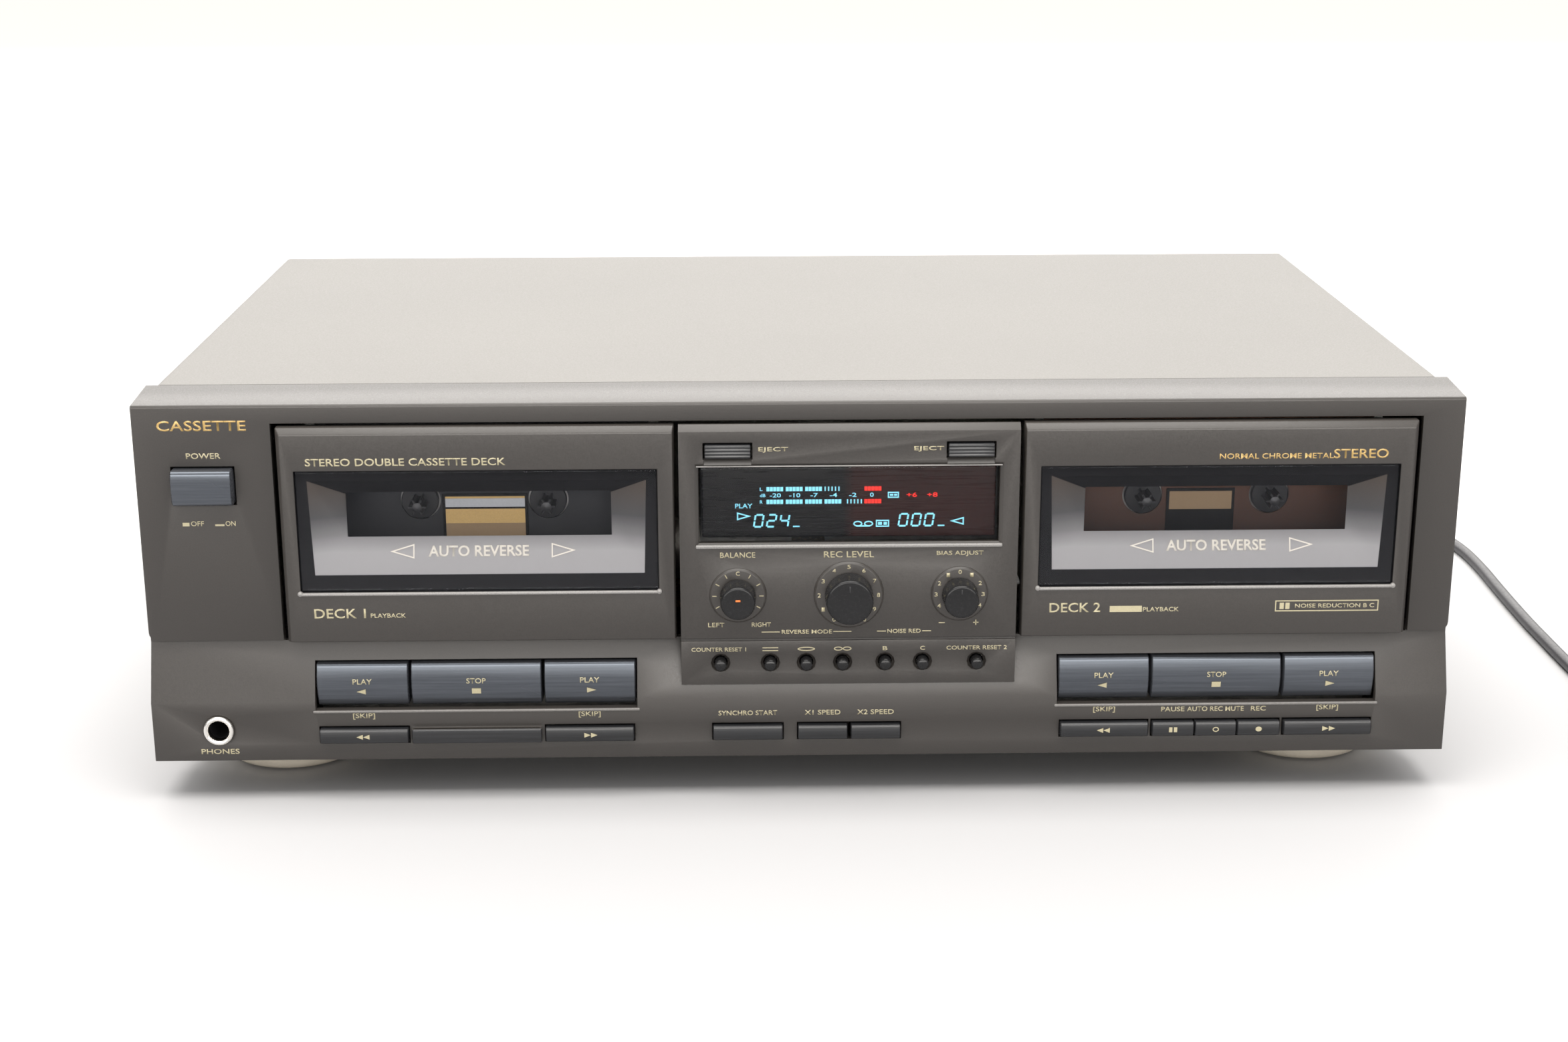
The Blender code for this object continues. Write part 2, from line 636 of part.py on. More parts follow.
def make_door(deck, surfaces):
    number = deck + 1
    left = (DOOR_1_X, DOOR_2_X)[deck]
    right = left + DOOR_WIDTH
    middle = DECK_CENTRES[deck]
    front, back = -PANEL_PROUD, DOOR_BACK
    bevel = EDGE_BEVEL
    swing = DOOR_SWING_EDGE
    face_left = left + (swing if deck == 0 else 0.0004)
    face_right = right - (swing if deck == 1 else 0.0004)
    door = shape(
        f"door_{number}",
        surfaces["panel_plastic"],
        lambda bm: loft(
            bm,
            [
                (front, face_left, face_right, DOOR_Z + 0.0004, DOOR_TOP - bevel),
                (front + bevel, left, right, DOOR_Z, DOOR_TOP),
                (back, left, right, DOOR_Z, DOOR_TOP),
            ],
        ),
    )
    glass_x = centred(middle, GLASS_WIDTH)
    glass_z = (GLASS_Z, GLASS_Z + GLASS_HEIGHT)
    seat = front + GLASS_RECESS + GLASS_THICK + GAP
    combine(
        door,
        "DIFFERENCE",
        lambda bm: block(bm, grown(glass_x, GAP), (front - 0.01, seat), grown(glass_z, GAP)),
    )
    mask_x = centred(middle, MASK_WIDTH)
    mask_z = (glass_z[0] + MASK_LOW, glass_z[1] - MASK_HIGH)
    small_x = grown(mask_x, -MASK_SIDE_RUN)
    small_z = (mask_z[0] + MASK_LOW_RUN, mask_z[1] - MASK_HIGH_RUN)
    overlap = 0.0010
    combine(
        door,
        "DIFFERENCE",
        lambda bm: loft(
            bm,
            [(seat - overlap, *mask_x, *mask_z), (seat, *mask_x, *mask_z), (back, *small_x, *small_z),
             (back + overlap, *small_x, *small_z)],
        ),
    )
    window = shape(
        f"door_window_{number}",
        surfaces["smoked_glass"],
        lambda bm: block(bm, glass_x, (front + GLASS_RECESS, front + GLASS_RECESS + GLASS_THICK), glass_z),
    )

    depth = back + GAP
    rear = CASSETTE_FRONT + CASSETTE_THICK + GAP
    inner = CASSETTE_WIDTH / 2 + 0.0008
    outer = inner + HOLDER_SIDE
    hook = inner - 0.0030
    outline = [
        (middle - outer, FACE_Y + depth),
        (middle + outer, FACE_Y + depth),
        (middle + outer, FACE_Y + rear + HOLDER_WALL),
        (middle + hook, FACE_Y + rear + HOLDER_WALL),
        (middle + hook, FACE_Y + rear),
        (middle + inner, FACE_Y + rear),
        (middle + inner, FACE_Y + depth + HOLDER_WALL),
        (middle - inner, FACE_Y + depth + HOLDER_WALL),
        (middle - inner, FACE_Y + rear),
        (middle - hook, FACE_Y + rear),
        (middle - hook, FACE_Y + rear + HOLDER_WALL),
        (middle - outer, FACE_Y + rear + HOLDER_WALL),
    ]
    low, high = CASSETTE_Z - 0.0030, CASSETTE_Z + CASSETTE_HEIGHT - 0.0030
    holder = shape(
        f"cassette_holder_{number}", surfaces["black_plastic"], lambda bm: prism(bm, outline, 2, low, high)
    )
    view_x = grown(small_x, 0.0020)
    view_z = grown(small_z, 0.0020)
    combine(holder, "DIFFERENCE", lambda bm: block(bm, view_x, (depth - 0.01, depth + 0.0030), view_z))

    hinge = bpy.data.objects.new(f"door_{number}_hinge", None)
    bpy.context.scene.collection.objects.link(hinge)
    hinge.location = at(middle, 0, HINGE_Z)
    for piece in (door, window, holder):
        piece.data.transform(hinge.matrix_basis.Translation(-hinge.location))
        piece.parent = hinge


def make_transport(deck, surfaces):
    number = deck + 1
    middle = DECK_CENTRES[deck]
    front, back = PLATE_FRONT, PLATE_FRONT + PLATE_THICK
    low = CASE_Z + PANEL_WALL + GAP
    plate_z = (low, CASSETTE_Z + CASSETTE_HEIGHT)
    plate = shape(
        f"transport_plate_{number}",
        surfaces["zinc_steel"],
        lambda bm: block(bm, centred(middle, PLATE_WIDTH), (front, back), plate_z),
    )
    motor_z = low + MOTOR_RADIUS + 0.0040
    wheel_z = CASSETTE_Z + 0.0060
    motor = [(0, -0.0005), (MOTOR_RADIUS, -0.0005), (MOTOR_RADIUS, MOTOR_LENGTH), (0, MOTOR_LENGTH)]
    wheel = [(0, -0.0005), (0.0040, -0.0005), (0.0040, 0.0040), (FLYWHEEL_RADIUS, 0.0040)]
    wheel += [(FLYWHEEL_RADIUS, 0.0040 + FLYWHEEL_THICK), (0, 0.0040 + FLYWHEEL_THICK)]
    hub_x = (middle - HUB_SPACING / 2, middle + HUB_SPACING / 2)
    housings = [lambda bm: turned(bm, motor, at(middle, back, motor_z), 1, ROUND_SIDES)]
    for x in hub_x:
        housings.append(lambda bm, x=x: turned(bm, wheel, at(x, back, wheel_z), 1, ROUND_SIDES))
    combine(plate, "UNION", *housings)
    combine(plate, "DIFFERENCE", *(hole_through(x, front, HUB_Z, SPINDLE_SHAFT + SHAFT_GAP) for x in hub_x))

    tip = CASSETTE_FRONT + 0.0028 - front
    profile = [
        (0, tip),
        (SPINDLE_RADIUS - 0.0012, tip),
        (SPINDLE_RADIUS, tip + 0.0014),
        (SPINDLE_RADIUS, -0.0030),
        (HUB_FLANGE, -0.0026),
        (HUB_FLANGE, -0.0010),
        (SPINDLE_SHAFT, -0.0008),
        (SPINDLE_SHAFT, PLATE_THICK + 0.0030),
        (0, PLATE_THICK + 0.0030),
    ]
    for side, x in zip(("left", "right"), hub_x):
        spindle = shape(
            f"spindle_{number}_{side}",
            surfaces["black_plastic"],
            lambda bm: turned(bm, profile, at(x, front, HUB_Z), 1, ROUND_SIDES),
            smooth=35,
        )
        pivot(spindle, at(x, front, HUB_Z))

    head_top = CASSETTE_Z - 0.0012
    nose = 0.0040
    head_front = CASSETTE_FRONT + (CASSETTE_THICK - HEAD_DEPTH) / 2
    head_outline = [
        (middle - HEAD_WIDTH / 2, head_top - HEAD_HEIGHT),
        (middle + HEAD_WIDTH / 2, head_top - HEAD_HEIGHT),
        (middle + HEAD_WIDTH / 2, head_top - nose),
        *arc(middle, head_top - nose, nose + 0.0026, 22, 158, 6),
        (middle - HEAD_WIDTH / 2, head_top - nose),
    ]
    head = shape(
        f"head_block_{number}",
        surfaces["nickel"],
        lambda bm: prism(bm, head_outline, 1, FACE_Y + head_front, FACE_Y + head_front + HEAD_DEPTH),
    )
    pivot(head, at(middle, head_front + HEAD_DEPTH / 2, head_top - HEAD_HEIGHT))


# Centre panel

def make_centre_panel(surfaces):
    front = FACE_Y - PANEL_PROUD
    back = front + CENTRE_WALL
    low = GROOVE_Z - 0.0157
    top = DOOR_TOP + 0.0002
    slope_gap = 0.0004
    meets = SLOPE_TOP - (SLOPE_BACK - slope_gap + PANEL_PROUD - CENTRE_WALL) * SLOPE_HEIGHT / SLOPE_RUN
    outline = [
        (front, low),
        (front, GROOVE_Z - GROOVE_WIDTH / 2),
        (front + GROOVE_DEPTH, GROOVE_Z - GROOVE_WIDTH / 2),
        (front + GROOVE_DEPTH, GROOVE_Z + GROOVE_WIDTH / 2),
        (front, GROOVE_Z + GROOVE_WIDTH / 2),
        (front, top - EDGE_BEVEL),
        (front + EDGE_BEVEL, top),
        (back, top),
        (back, meets),
        (FACE_Y + slope_depth(low) - slope_gap, low),
    ]
    surface = surfaces["panel_plastic"]
    panel = shape("centre_panel", surface, lambda bm: prism(bm, outline, 0, CENTRE_LEFT, CENTRE_RIGHT))

    scoops = []
    for side in (-1, 1):
        x0, x1 = centred(CENTRE_X + side * EJECT_OFFSET, EJECT_WIDTH)
        z1 = DOOR_TOP - EJECT_DROP - EJECT_HEIGHT / 2 - KEY_GAP / 2
        wedge = [(front - 0.0005, z1 - SCOOP_HEIGHT - 0.0010), (front - 0.0005, z1), (front + 0.0018, z1)]
        scoops.append(lambda bm, w=wedge, a=x0, b=x1: prism(bm, w, 0, a, b))
    combine(panel, "DIFFERENCE", *scoops)

    dials = dial_places()
    base = -PANEL_PROUD - DIAL_PROUD
    bosses = []
    for x, z, dial, _ in dials.values():
        deep = DIAL_PROUD + 0.0010
        rim = [(0, 0), (dial - 0.0007, 0), (dial, 0.0007), (dial, deep), (0, deep)]
        bosses.append(lambda bm, p=rim, c=at(x, base, z): turned(bm, p, c, 1, LARGE_SIDES))
    combine(panel, "UNION", *bosses)

    window_x = centred(CENTRE_X, DISPLAY_WIDTH)
    window_z = (GROOVE_Z + DISPLAY_RISE, GROOVE_Z + DISPLAY_RISE + DISPLAY_HEIGHT)
    seat = -PANEL_PROUD + DISPLAY_RECESS
    combine(
        panel,
        "DIFFERENCE",
        lambda bm: loft(
            bm,
            [
                (seat - DISPLAY_RECESS - 0.0010, *grown(window_x, DISPLAY_BEVEL + 0.0012),
                 *grown(window_z, DISPLAY_BEVEL + 0.0012)),
                (seat - 0.0001, *grown(window_x, GAP), *grown(window_z, GAP)),
                (seat + 0.0100, *grown(window_x, GAP), *grown(window_z, GAP)),
            ],
        ),
    )
    shape(
        "display_window",
        surfaces["smoked_glass"],
        lambda bm: block(bm, window_x, (seat, seat + DISPLAY_THICK), window_z),
    )

    through = (-0.0150, 0.0100)
    cuts = []
    for x, z, _, _ in dials.values():
        cuts.append(hole_through(x, 0, z, KNOB_SHAFT + SHAFT_GAP))
    for side in (-1, 1):
        x = centred(CENTRE_X + side * EJECT_OFFSET, EJECT_WIDTH)
        z = centred(DOOR_TOP - EJECT_DROP, EJECT_HEIGHT)
        cuts.append(lambda bm, x=grown(x, KEY_GAP / 2), z=grown(z, KEY_GAP): block(bm, x, through, z))
    for offset in BUTTON_OFFSETS.values():
        centre = at(CENTRE_X + offset, -PANEL_PROUD, GROOVE_Z - BUTTON_DROP)
        bore = BUTTON_RADIUS + SHAFT_GAP
        dish = [(0, -0.0010), (BUTTON_DISH + 0.0004, -0.0010), (bore + 0.0004, 0.0008), (bore, 0.0010)]
        dish += [(bore, 0.0100), (0, 0.0100)]
        cuts.append(lambda bm, p=dish, c=centre: turned(bm, p, c, 1, SMALL_SIDES))
    combine(panel, "DIFFERENCE", *cuts)


def dial_places():
    """X, Z, dial radius and knob radius of each turning control."""
    z = GROOVE_Z + KNOB_RISE
    return {
        "balance_knob": (CENTRE_X - KNOB_OFFSET, z, SMALL_DIAL_RADIUS, SMALL_KNOB_RADIUS),
        "record_level_knob": (CENTRE_X, z, LEVEL_DIAL_RADIUS, LEVEL_KNOB_RADIUS),
        "bias_knob": (CENTRE_X + KNOB_OFFSET, z, SMALL_DIAL_RADIUS, SMALL_KNOB_RADIUS),
    }


def make_knobs(surface):
    front = -PANEL_PROUD - KNOB_PROUD
    base = -PANEL_PROUD - DIAL_PROUD - GAP
    for name, (x, z, _, radius) in dial_places().items():
        length = base - front
        edge = 0.0009
        profile = [
            (0, 0),
            (radius - edge - 0.0003, 0),
            *arc(radius - edge - 0.0003, edge, edge, -60, 0, 2),
            (radius, length),
            (KNOB_SHAFT, length),
            (KNOB_SHAFT, length + 0.0120),
            (0, length + 0.0120),
        ]
        centre = at(x, front, z)
        knob = shape(name, surface, lambda bm: turned(bm, profile, centre, 1, LARGE_SIDES), smooth=30)
        pivot(knob, centre)


def make_buttons(surface):
    front = -PANEL_PROUD - BUTTON_PROUD
    crown = 0.0006
    for name, offset in BUTTON_OFFSETS.items():
        centre = at(CENTRE_X + offset, front, GROOVE_Z - BUTTON_DROP)
        radius = BUTTON_RADIUS
        profile = [
            (0, 0),
            (radius * 0.6, crown * 0.3),
            (radius - 0.0002, crown),
            (radius, crown + 0.0004),
            (radius, BUTTON_PROUD + 0.0090),
            (0, BUTTON_PROUD + 0.0090),
        ]
        button = shape(name, surface, lambda bm: turned(bm, profile, centre, 1, SMALL_SIDES), smooth=50)
        pivot(button, centre)


# Keys

def key_outline(face, z0, z1, bulge, rounding):
    """Side view of a key: round upper and lower front edges, with a face that swells a little."""
    front = FACE_Y - face
    back = FACE_Y + KEY_BACK
    steps = 4
    swell = []
    for step in range(1, steps):
        share = step / steps
        z = z0 + rounding + (z1 - z0 - 2 * rounding) * share
        swell.append((front - bulge * (1 - (2 * share - 1) ** 2), z))
    return [
        (back, z0),
        *reversed(arc(front + rounding, z0 + rounding, rounding, 180, 270, 2)),
        *swell,
        *arc(front + rounding, z1 - rounding, rounding, 180, 90, 3),
        (back, z1),
    ]


def make_key(name, surface, x, outline):
    key = shape(name, surface, lambda bm: prism(bm, outline, 0, *x), smooth=40)
    soften(key, 0.0003)
    middle_z = sum(z for _, z in outline) / len(outline)
    pivot(key, ((x[0] + x[1]) / 2, FACE_Y, middle_z))


def make_keys(surface):
    low, high = key_z()
    big = key_outline(BIG_KEY_FACE, low, high, BIG_KEY_BULGE, 0.0013)
    thin = key_outline(STRIP_PROUD + THIN_KEY_PROUD, *thin_key_z(), 0.0003, 0.0007)
    for deck in range(2):
        names = ("play_reverse_key", "stop_key", "play_forward_key")
        for name, edges in zip(names, big_keys(deck)):
            make_key(f"{name}_{deck + 1}", surface, edges, big)
        left_key, _, right_key = thin_keys(deck)
        make_key(f"rewind_key_{deck + 1}", surface, left_key, thin)
        make_key(f"fast_forward_key_{deck + 1}", surface, right_key, thin)
    for name, edges in zip(("pause_key", "record_mute_key", "record_key"), middle_keys()):
        make_key(name, surface, edges, thin)
    make_key("synchro_key", surface, centred(*SYNCHRO_KEY), thin)
    for index, (x, width) in enumerate(SPEED_KEYS):
        shift = KEY_GAP / 4 if index else -KEY_GAP / 4
        make_key(f"speed_{index + 1}_key", surface, centred(x + shift, width - KEY_GAP / 2), thin)
    power = key_outline(POWER_KEY_PROUD, *grown(power_window(), -KEY_GAP), 0.0004, 0.0015)
    make_key("power_key", surface, centred(END_X, POWER_KEY_WIDTH), power)
    for index, side in enumerate((-1, 1)):
        z = centred(DOOR_TOP - EJECT_DROP, EJECT_HEIGHT)
        x = centred(CENTRE_X + side * EJECT_OFFSET, EJECT_WIDTH)
        make_key(f"eject_key_{index + 1}", surface, grown(x, -GAP), ribbed_outline(*z))


def ribbed_outline(z0, z1):
    """Side view of an eject key, whose face carries grip ribs."""
    front = FACE_Y - PANEL_PROUD - 0.0012
    back = FACE_Y + KEY_BACK
    ribs = 4
    pitch = (z1 - z0) / ribs
    teeth = []
    for rib in range(ribs):
        teeth += [(front + 0.0004, z0 + rib * pitch), (front, z0 + (rib + 0.25) * pitch)]
        teeth += [(front, z0 + (rib + 0.75) * pitch)]
    return [(back, z0), *teeth, (front + 0.0004, z1), (back, z1)]


# Sockets and inner parts

def make_phones_jack(surface):
    depth = 0.0180
    proud = -STRIP_PROUD - PHONES_PROUD
    neck = PHONES_RING - 0.0004 - GAP
    start = PHONES_PROUD - GAP
    profile = [
        (PHONES_BORE, 0),
        (PHONES_RING - 0.0004, 0),
        (PHONES_RING, 0.0004),
        (PHONES_RING, start),
        (neck, start),
        (neck, depth + 0.0020),
        (0, depth + 0.0020),
        (0, depth),
        (PHONES_BORE, depth),
        (PHONES_BORE, 0),
    ]
    centre = at(END_X, proud, CASE_Z + PHONES_RISE)
    shape("phones_jack", surface, lambda bm: turned(bm, profile, centre, 1, ROUND_SIDES), smooth=35)


def make_line_jacks(surface):
    """Four sockets on one plate behind the rear wall."""
    inner = REAR_WALL - CHASSIS_SHEET - GAP
    size = JACK_PITCH + 2 * (JACK_RADIUS + GAP)
    plate_x = centred(JACK_X, size)
    plate_z = centred(CASE_Z + JACK_RISE, size)
    plate = shape(
        "line_jacks",
        surface,
        lambda bm: block(bm, plate_x, (inner - 0.0100, inner), plate_z),
    )
    length = REAR_REACH - inner
    profile = [(0, -0.0010), (JACK_RADIUS, -0.0010), (JACK_RADIUS, length - 0.0005)]
    profile += [(JACK_RADIUS - 0.0005, length), (0.0017, length)]
    profile += [(0.0017, length - 0.0060), (0, length - 0.0060)]
    barrels = []
    for x, z in jack_places():
        barrels.append(lambda bm, c=at(x, inner, z): turned(bm, profile, c, 1, ROUND_SIDES))
    combine(plate, "UNION", *barrels)


def make_main_board(surface):
    """Circuit board on four posts, with its larger parts."""
    floor = CASE_Z + CHASSIS_SHEET + GAP
    level = CASE_Z + BOARD_RISE
    back = REAR_WALL - CHASSIS_SHEET - 0.0160
    width, depth = BOARD_SIZE
    thick = 0.0016
    board = shape(
        "main_board",
        surface,
        lambda bm: block(bm, centred(BOARD_X, width), (back - depth, back), (level, level + thick)),
    )
    inset = 0.0060
    posts = []
    for side in (-1, 1):
        for y in (back - inset, back - depth + inset):
            centre = at(BOARD_X + side * (width / 2 - inset), y, floor)
            post = [(0, 0), (0.0030, 0), (0.0030, level - floor + 0.0008), (0, level - floor + 0.0008)]
            posts.append(lambda bm, c=centre, p=post: turned(bm, p, c, 2, SMALL_SIDES))
    top = level + thick - 0.0005
    sink = (back - depth + 0.0300, back - depth + 0.0330)
    posts.append(lambda bm: block(bm, (BOARD_X + 0.0100, BOARD_X + 0.0700), sink, (top, top + 0.0250)))
    for index in range(2):
        can = [(0, 0), (0.0090, 0), (0.0090, 0.0300), (0, 0.0300)]
        centre = at(BOARD_X - 0.0550 + index * 0.0240, back - 0.0500, top)
        posts.append(lambda bm, c=centre, p=can: turned(bm, p, c, 2, ROUND_SIDES))
    combine(board, "UNION", *posts)


def make_transformer(surface):
    width, depth, height = TRANSFORMER_SIZE
    floor = CASE_Z + CHASSIS_SHEET + GAP
    back = REAR_WALL - TRANSFORMER_BACK
    middle = back - depth / 2
    core = 0.0180
    core_z = (floor + 0.0010, floor + height)
    frame = shape(
        "power_transformer",
        surface,
        lambda bm: block(bm, centred(TRANSFORMER_X, width), centred(middle, core), core_z),
    )
    coil_z = (floor + height * 0.22, floor + height * 0.78)
    combine(
        frame,
        "UNION",
        lambda bm: block(bm, centred(TRANSFORMER_X, width - 0.0200), centred(middle, depth), coil_z),
    )
    foot_x = centred(TRANSFORMER_X, width + 0.0160)
    foot_y = centred(middle, 0.0140)
    combine(frame, "UNION", lambda bm: block(bm, foot_x, foot_y, (floor, floor + 0.0020)))
    soften(frame, 0.0006)


# Mains lead

def smooth_route(points, spacing):
    """Points at even steps along a smooth curve through the given ones."""
    vectors = [Vector(point) for point in points]
    ends = [2 * vectors[0] - vectors[1], *vectors, 2 * vectors[-1] - vectors[-2]]
    fine = []
    parts = 12
    for before, start, stop, after in zip(ends, ends[1:], ends[2:], ends[3:]):
        for part in range(parts):
            t = part / parts
            fine.append(
                0.5
                * (
                    2 * start
                    + (stop - before) * t
                    + (2 * before - 5 * start + 4 * stop - after) * t**2
                    + (3 * start - before - 3 * stop + after) * t**3
                )
            )
    fine.append(vectors[-1])
    lengths = [(b - a).length for a, b in zip(fine, fine[1:])]
    count = max(2, round(sum(lengths) / spacing))
    step = sum(lengths) / count
    route = [fine[0]]
    travelled = 0.0
    for start, stop, length in zip(fine, fine[1:], lengths):
        while len(route) < count and travelled + length >= step * len(route):
            share = (step * len(route) - travelled) / length
            route.append(start.lerp(stop, share))
        travelled += length
    route.append(fine[-1])
    return route


def make_strain_relief(surface):
    """A tapered sleeve that clips into the rear wall, with a flange on each side of the sheet."""
    sheet = CHASSIS_SHEET
    flange = RELIEF_RADIUS + 0.0022
    tail = CORD_ROUTE[0][1] - REAR_WALL - GAP
    profile = [
        (0, -sheet - GAP - 0.0080),
        (RELIEF_RADIUS, -sheet - GAP - 0.0080),
        (flange, -sheet - GAP - 0.0020),
        (flange, -sheet - GAP),
        (RELIEF_RADIUS - 0.0010, -sheet - GAP),
        (RELIEF_RADIUS - 0.0010, GAP),
        (flange, GAP),
        (flange - 0.0004, 0.0024),
        (RELIEF_RADIUS, 0.0036),
        (RELIEF_END + 0.0004, tail - 0.0010),
        (RELIEF_END - 0.0002, tail),
        (0, tail),
    ]
    centre = at(RELIEF_X, REAR_WALL, CASE_Z + RELIEF_RISE)
    shape("strain_relief", surface, lambda bm: turned(bm, profile, centre, 1, ROUND_SIDES), smooth=40)


def make_cord(surface):
    points = smooth_route([at(*point) for point in CORD_ROUTE], 2.4 * CORD_DIAMETER)
    curve = bpy.data.curves.new("mains_cord", "CURVE")
    curve.dimensions = "3D"
    curve.bevel_depth = CORD_DIAMETER / 2
    curve.bevel_resolution = 2
    curve.use_fill_caps = True
    spline = curve.splines.new("POLY")
    spline.points.add(len(points) - 1)
    for target, point in zip(spline.points, points):
        target.co = (*point, 1.0)
    curve.materials.append(surface)
    cord = bpy.data.objects.new("mains_cord", curve)
    bpy.context.scene.collection.objects.link(cord)


def make_coil(surface):
    """The space of the wound lead: a turned ring with two straight ends."""
    radius = CORD_DIAMETER / 2
    inner = COIL_INNER - radius
    outer = COIL_OUTER + radius
    height = COIL_LAYERS * CORD_DIAMETER
    round_edge = 0.0012
    profile = [
        (inner, 0),
        (outer - round_edge, 0),
        (outer, round_edge),
        (outer, height - round_edge),
        (outer - round_edge, height),
        (inner, height),
    ]
    centre = at(COIL_X, COIL_DEPTH, 0)
    coil = shape("cord_coil", surface, lambda bm: turned(bm, profile, centre, 2, LARGE_SIDES, closed=True))
    side = COIL_X - COIL_OUTER
    lead = [(0, 0), (radius, 0), (radius, STUB_LENGTH), (0, STUB_LENGTH)]
    tail = [(0, -STUB_LENGTH), (radius, -STUB_LENGTH), (radius, 0), (0, 0)]
    combine(
        coil,
        "UNION",
        lambda bm: turned(bm, lead, at(side, COIL_DEPTH, CORD_LEVEL), 1, SMALL_SIDES),
        lambda bm: turned(bm, tail, at(side, COIL_DEPTH, plug_level()), 1, SMALL_SIDES),
    )


def plug_level():
    """Height of the plug's axis, which is the middle of the coil's upper layer."""
    return (COIL_LAYERS - 0.5) * CORD_DIAMETER


def make_plug(surface):
    """A flat two-pin plug that lies on the floor beside the coil."""
    x = COIL_X - COIL_OUTER
    start = COIL_DEPTH - STUB_LENGTH - GAP
    z = plug_level()
    half = PLUG_THICK / 2
    shoulder = start - PLUG_TAIL
    nose = shoulder - PLUG_BODY
    body_outline = [
        (x - 0.0062, FACE_Y + shoulder),
        (x + 0.0062, FACE_Y + shoulder),
        (x + PLUG_WIDTH / 2, FACE_Y + shoulder - 0.0100),
        (x + PLUG_WIDTH / 2, FACE_Y + nose),
        (x - PLUG_WIDTH / 2, FACE_Y + nose),
        (x - PLUG_WIDTH / 2, FACE_Y + shoulder - 0.0100),
    ]
    plug = shape("mains_plug", surface, lambda bm: prism(bm, body_outline, 2, z - half, z + half))
    tail = [(0, 0), (0.0031, 0), (0.0034, -0.0010), (0.0056, -PLUG_TAIL - 0.0010), (0, -PLUG_TAIL - 0.0010)]
    pin = [(0, 0.0010), (PIN_RADIUS, 0.0010), (PIN_RADIUS, -PIN_LENGTH + 0.0010)]
    pin += [(PIN_RADIUS - 0.0010, -PIN_LENGTH), (0, -PIN_LENGTH)]
    ends = [lambda bm: turned(bm, tail, at(x, start, z), 1, ROUND_SIDES)]
    for pin_x in centred(x, PIN_SPACING):
        ends.append(lambda bm, x=pin_x: turned(bm, pin, at(x, nose, z), 1, SMALL_SIDES))
    combine(plug, "UNION", *ends)


def main():
    for old in list(bpy.data.objects):
        bpy.data.objects.remove(old, do_unlink=True)
    surfaces = make_materials()
    make_front_panel(surfaces["panel_plastic"])
    make_top_cover(surfaces["cover_paint"])
    make_chassis(surfaces["zinc_steel"])
    make_feet(surfaces["foot_metal"])
    for deck in range(2):
        make_door(deck, surfaces)
        make_transport(deck, surfaces)
    make_centre_panel(surfaces)
    make_knobs(surfaces["key_plastic"])
    make_buttons(surfaces["key_plastic"])
    make_keys(surfaces["key_plastic"])
    make_phones_jack(surfaces["nickel"])
    make_line_jacks(surfaces["black_plastic"])
    make_main_board(surfaces["board"])
    make_transformer(surfaces["core_steel"])
    make_strain_relief(surfaces["cord_rubber"])
    make_cord(surfaces["cord_rubber"])
    make_coil(surfaces["cord_rubber"])
    make_plug(surfaces["cord_rubber"])


main()
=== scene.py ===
"""Looks of a double auto-reverse cassette deck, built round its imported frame.

Units are metres in the frame's own axes: X to the right, Y to the back, Z up. Depths in the code are
measured from the face plane, the flat front of the upper frame, so FACE_Y + depth is a place on Y.
"""

import math
from contextlib import contextmanager

import bmesh
import bpy
from bpy.props import FloatProperty, FloatVectorProperty, PointerProperty
from mathutils import Euler, Matrix, Vector


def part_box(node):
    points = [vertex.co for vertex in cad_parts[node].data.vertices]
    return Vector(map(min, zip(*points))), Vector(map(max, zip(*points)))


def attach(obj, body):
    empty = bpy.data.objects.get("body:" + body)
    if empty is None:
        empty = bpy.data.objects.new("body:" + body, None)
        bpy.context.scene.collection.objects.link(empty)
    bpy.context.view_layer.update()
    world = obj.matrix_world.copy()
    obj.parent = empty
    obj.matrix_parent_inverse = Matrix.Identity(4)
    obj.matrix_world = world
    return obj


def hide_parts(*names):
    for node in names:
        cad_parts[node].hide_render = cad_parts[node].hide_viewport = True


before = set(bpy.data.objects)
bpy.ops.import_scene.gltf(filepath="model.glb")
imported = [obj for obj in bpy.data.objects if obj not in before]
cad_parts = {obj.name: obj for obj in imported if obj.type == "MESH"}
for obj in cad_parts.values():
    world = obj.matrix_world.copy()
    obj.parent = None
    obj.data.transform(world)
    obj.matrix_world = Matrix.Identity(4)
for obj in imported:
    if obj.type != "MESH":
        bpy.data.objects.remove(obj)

bl_info = {
    "name": "Cassette Deck Looks",
    "version": (1, 0, 0),
    "blender": (4, 5, 0),
    "location": "View3D > Sidebar > Deck",
    "description": "Finishes, printed legends, lead and fine parts of a double cassette deck",
    "category": "Object",
}

CASE = "case"
STRIP_PROUD = 0.0046            # the lower strip ahead of the face plane
PANEL_PROUD = 0.0040            # the doors and the centre panel ahead of it
LIP_DEPTH = (-PANEL_PROUD - 0.0007, -PANEL_PROUD + 0.0004)
FOREMOST = 0.0020               # the front panel's foremost edge ahead of the strip
FACE_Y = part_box("front_panel")[0].y + STRIP_PROUD + FOREMOST
SIDES = 64                      # faces round a turned piece, and round a small one
SMALL_SIDES = 32
PRINT_THICK = 0.00006           # ink
PRINT_LIFT = 0.00002
MICRONS = 1e6                   # in a metre
SQUARE = 45                     # turn that stands a four-cornered sign upright
LEFTWARDS = 90                  # turns that point a three-cornered sign
RIGHTWARDS = -90


# Selecting and editing


def pick(*pieces):
    """Selects only these pieces, the last one active."""
    bpy.ops.object.select_all(action="DESELECT")
    for piece in pieces:
        piece.select_set(True)
    bpy.context.view_layer.objects.active = pieces[-1]


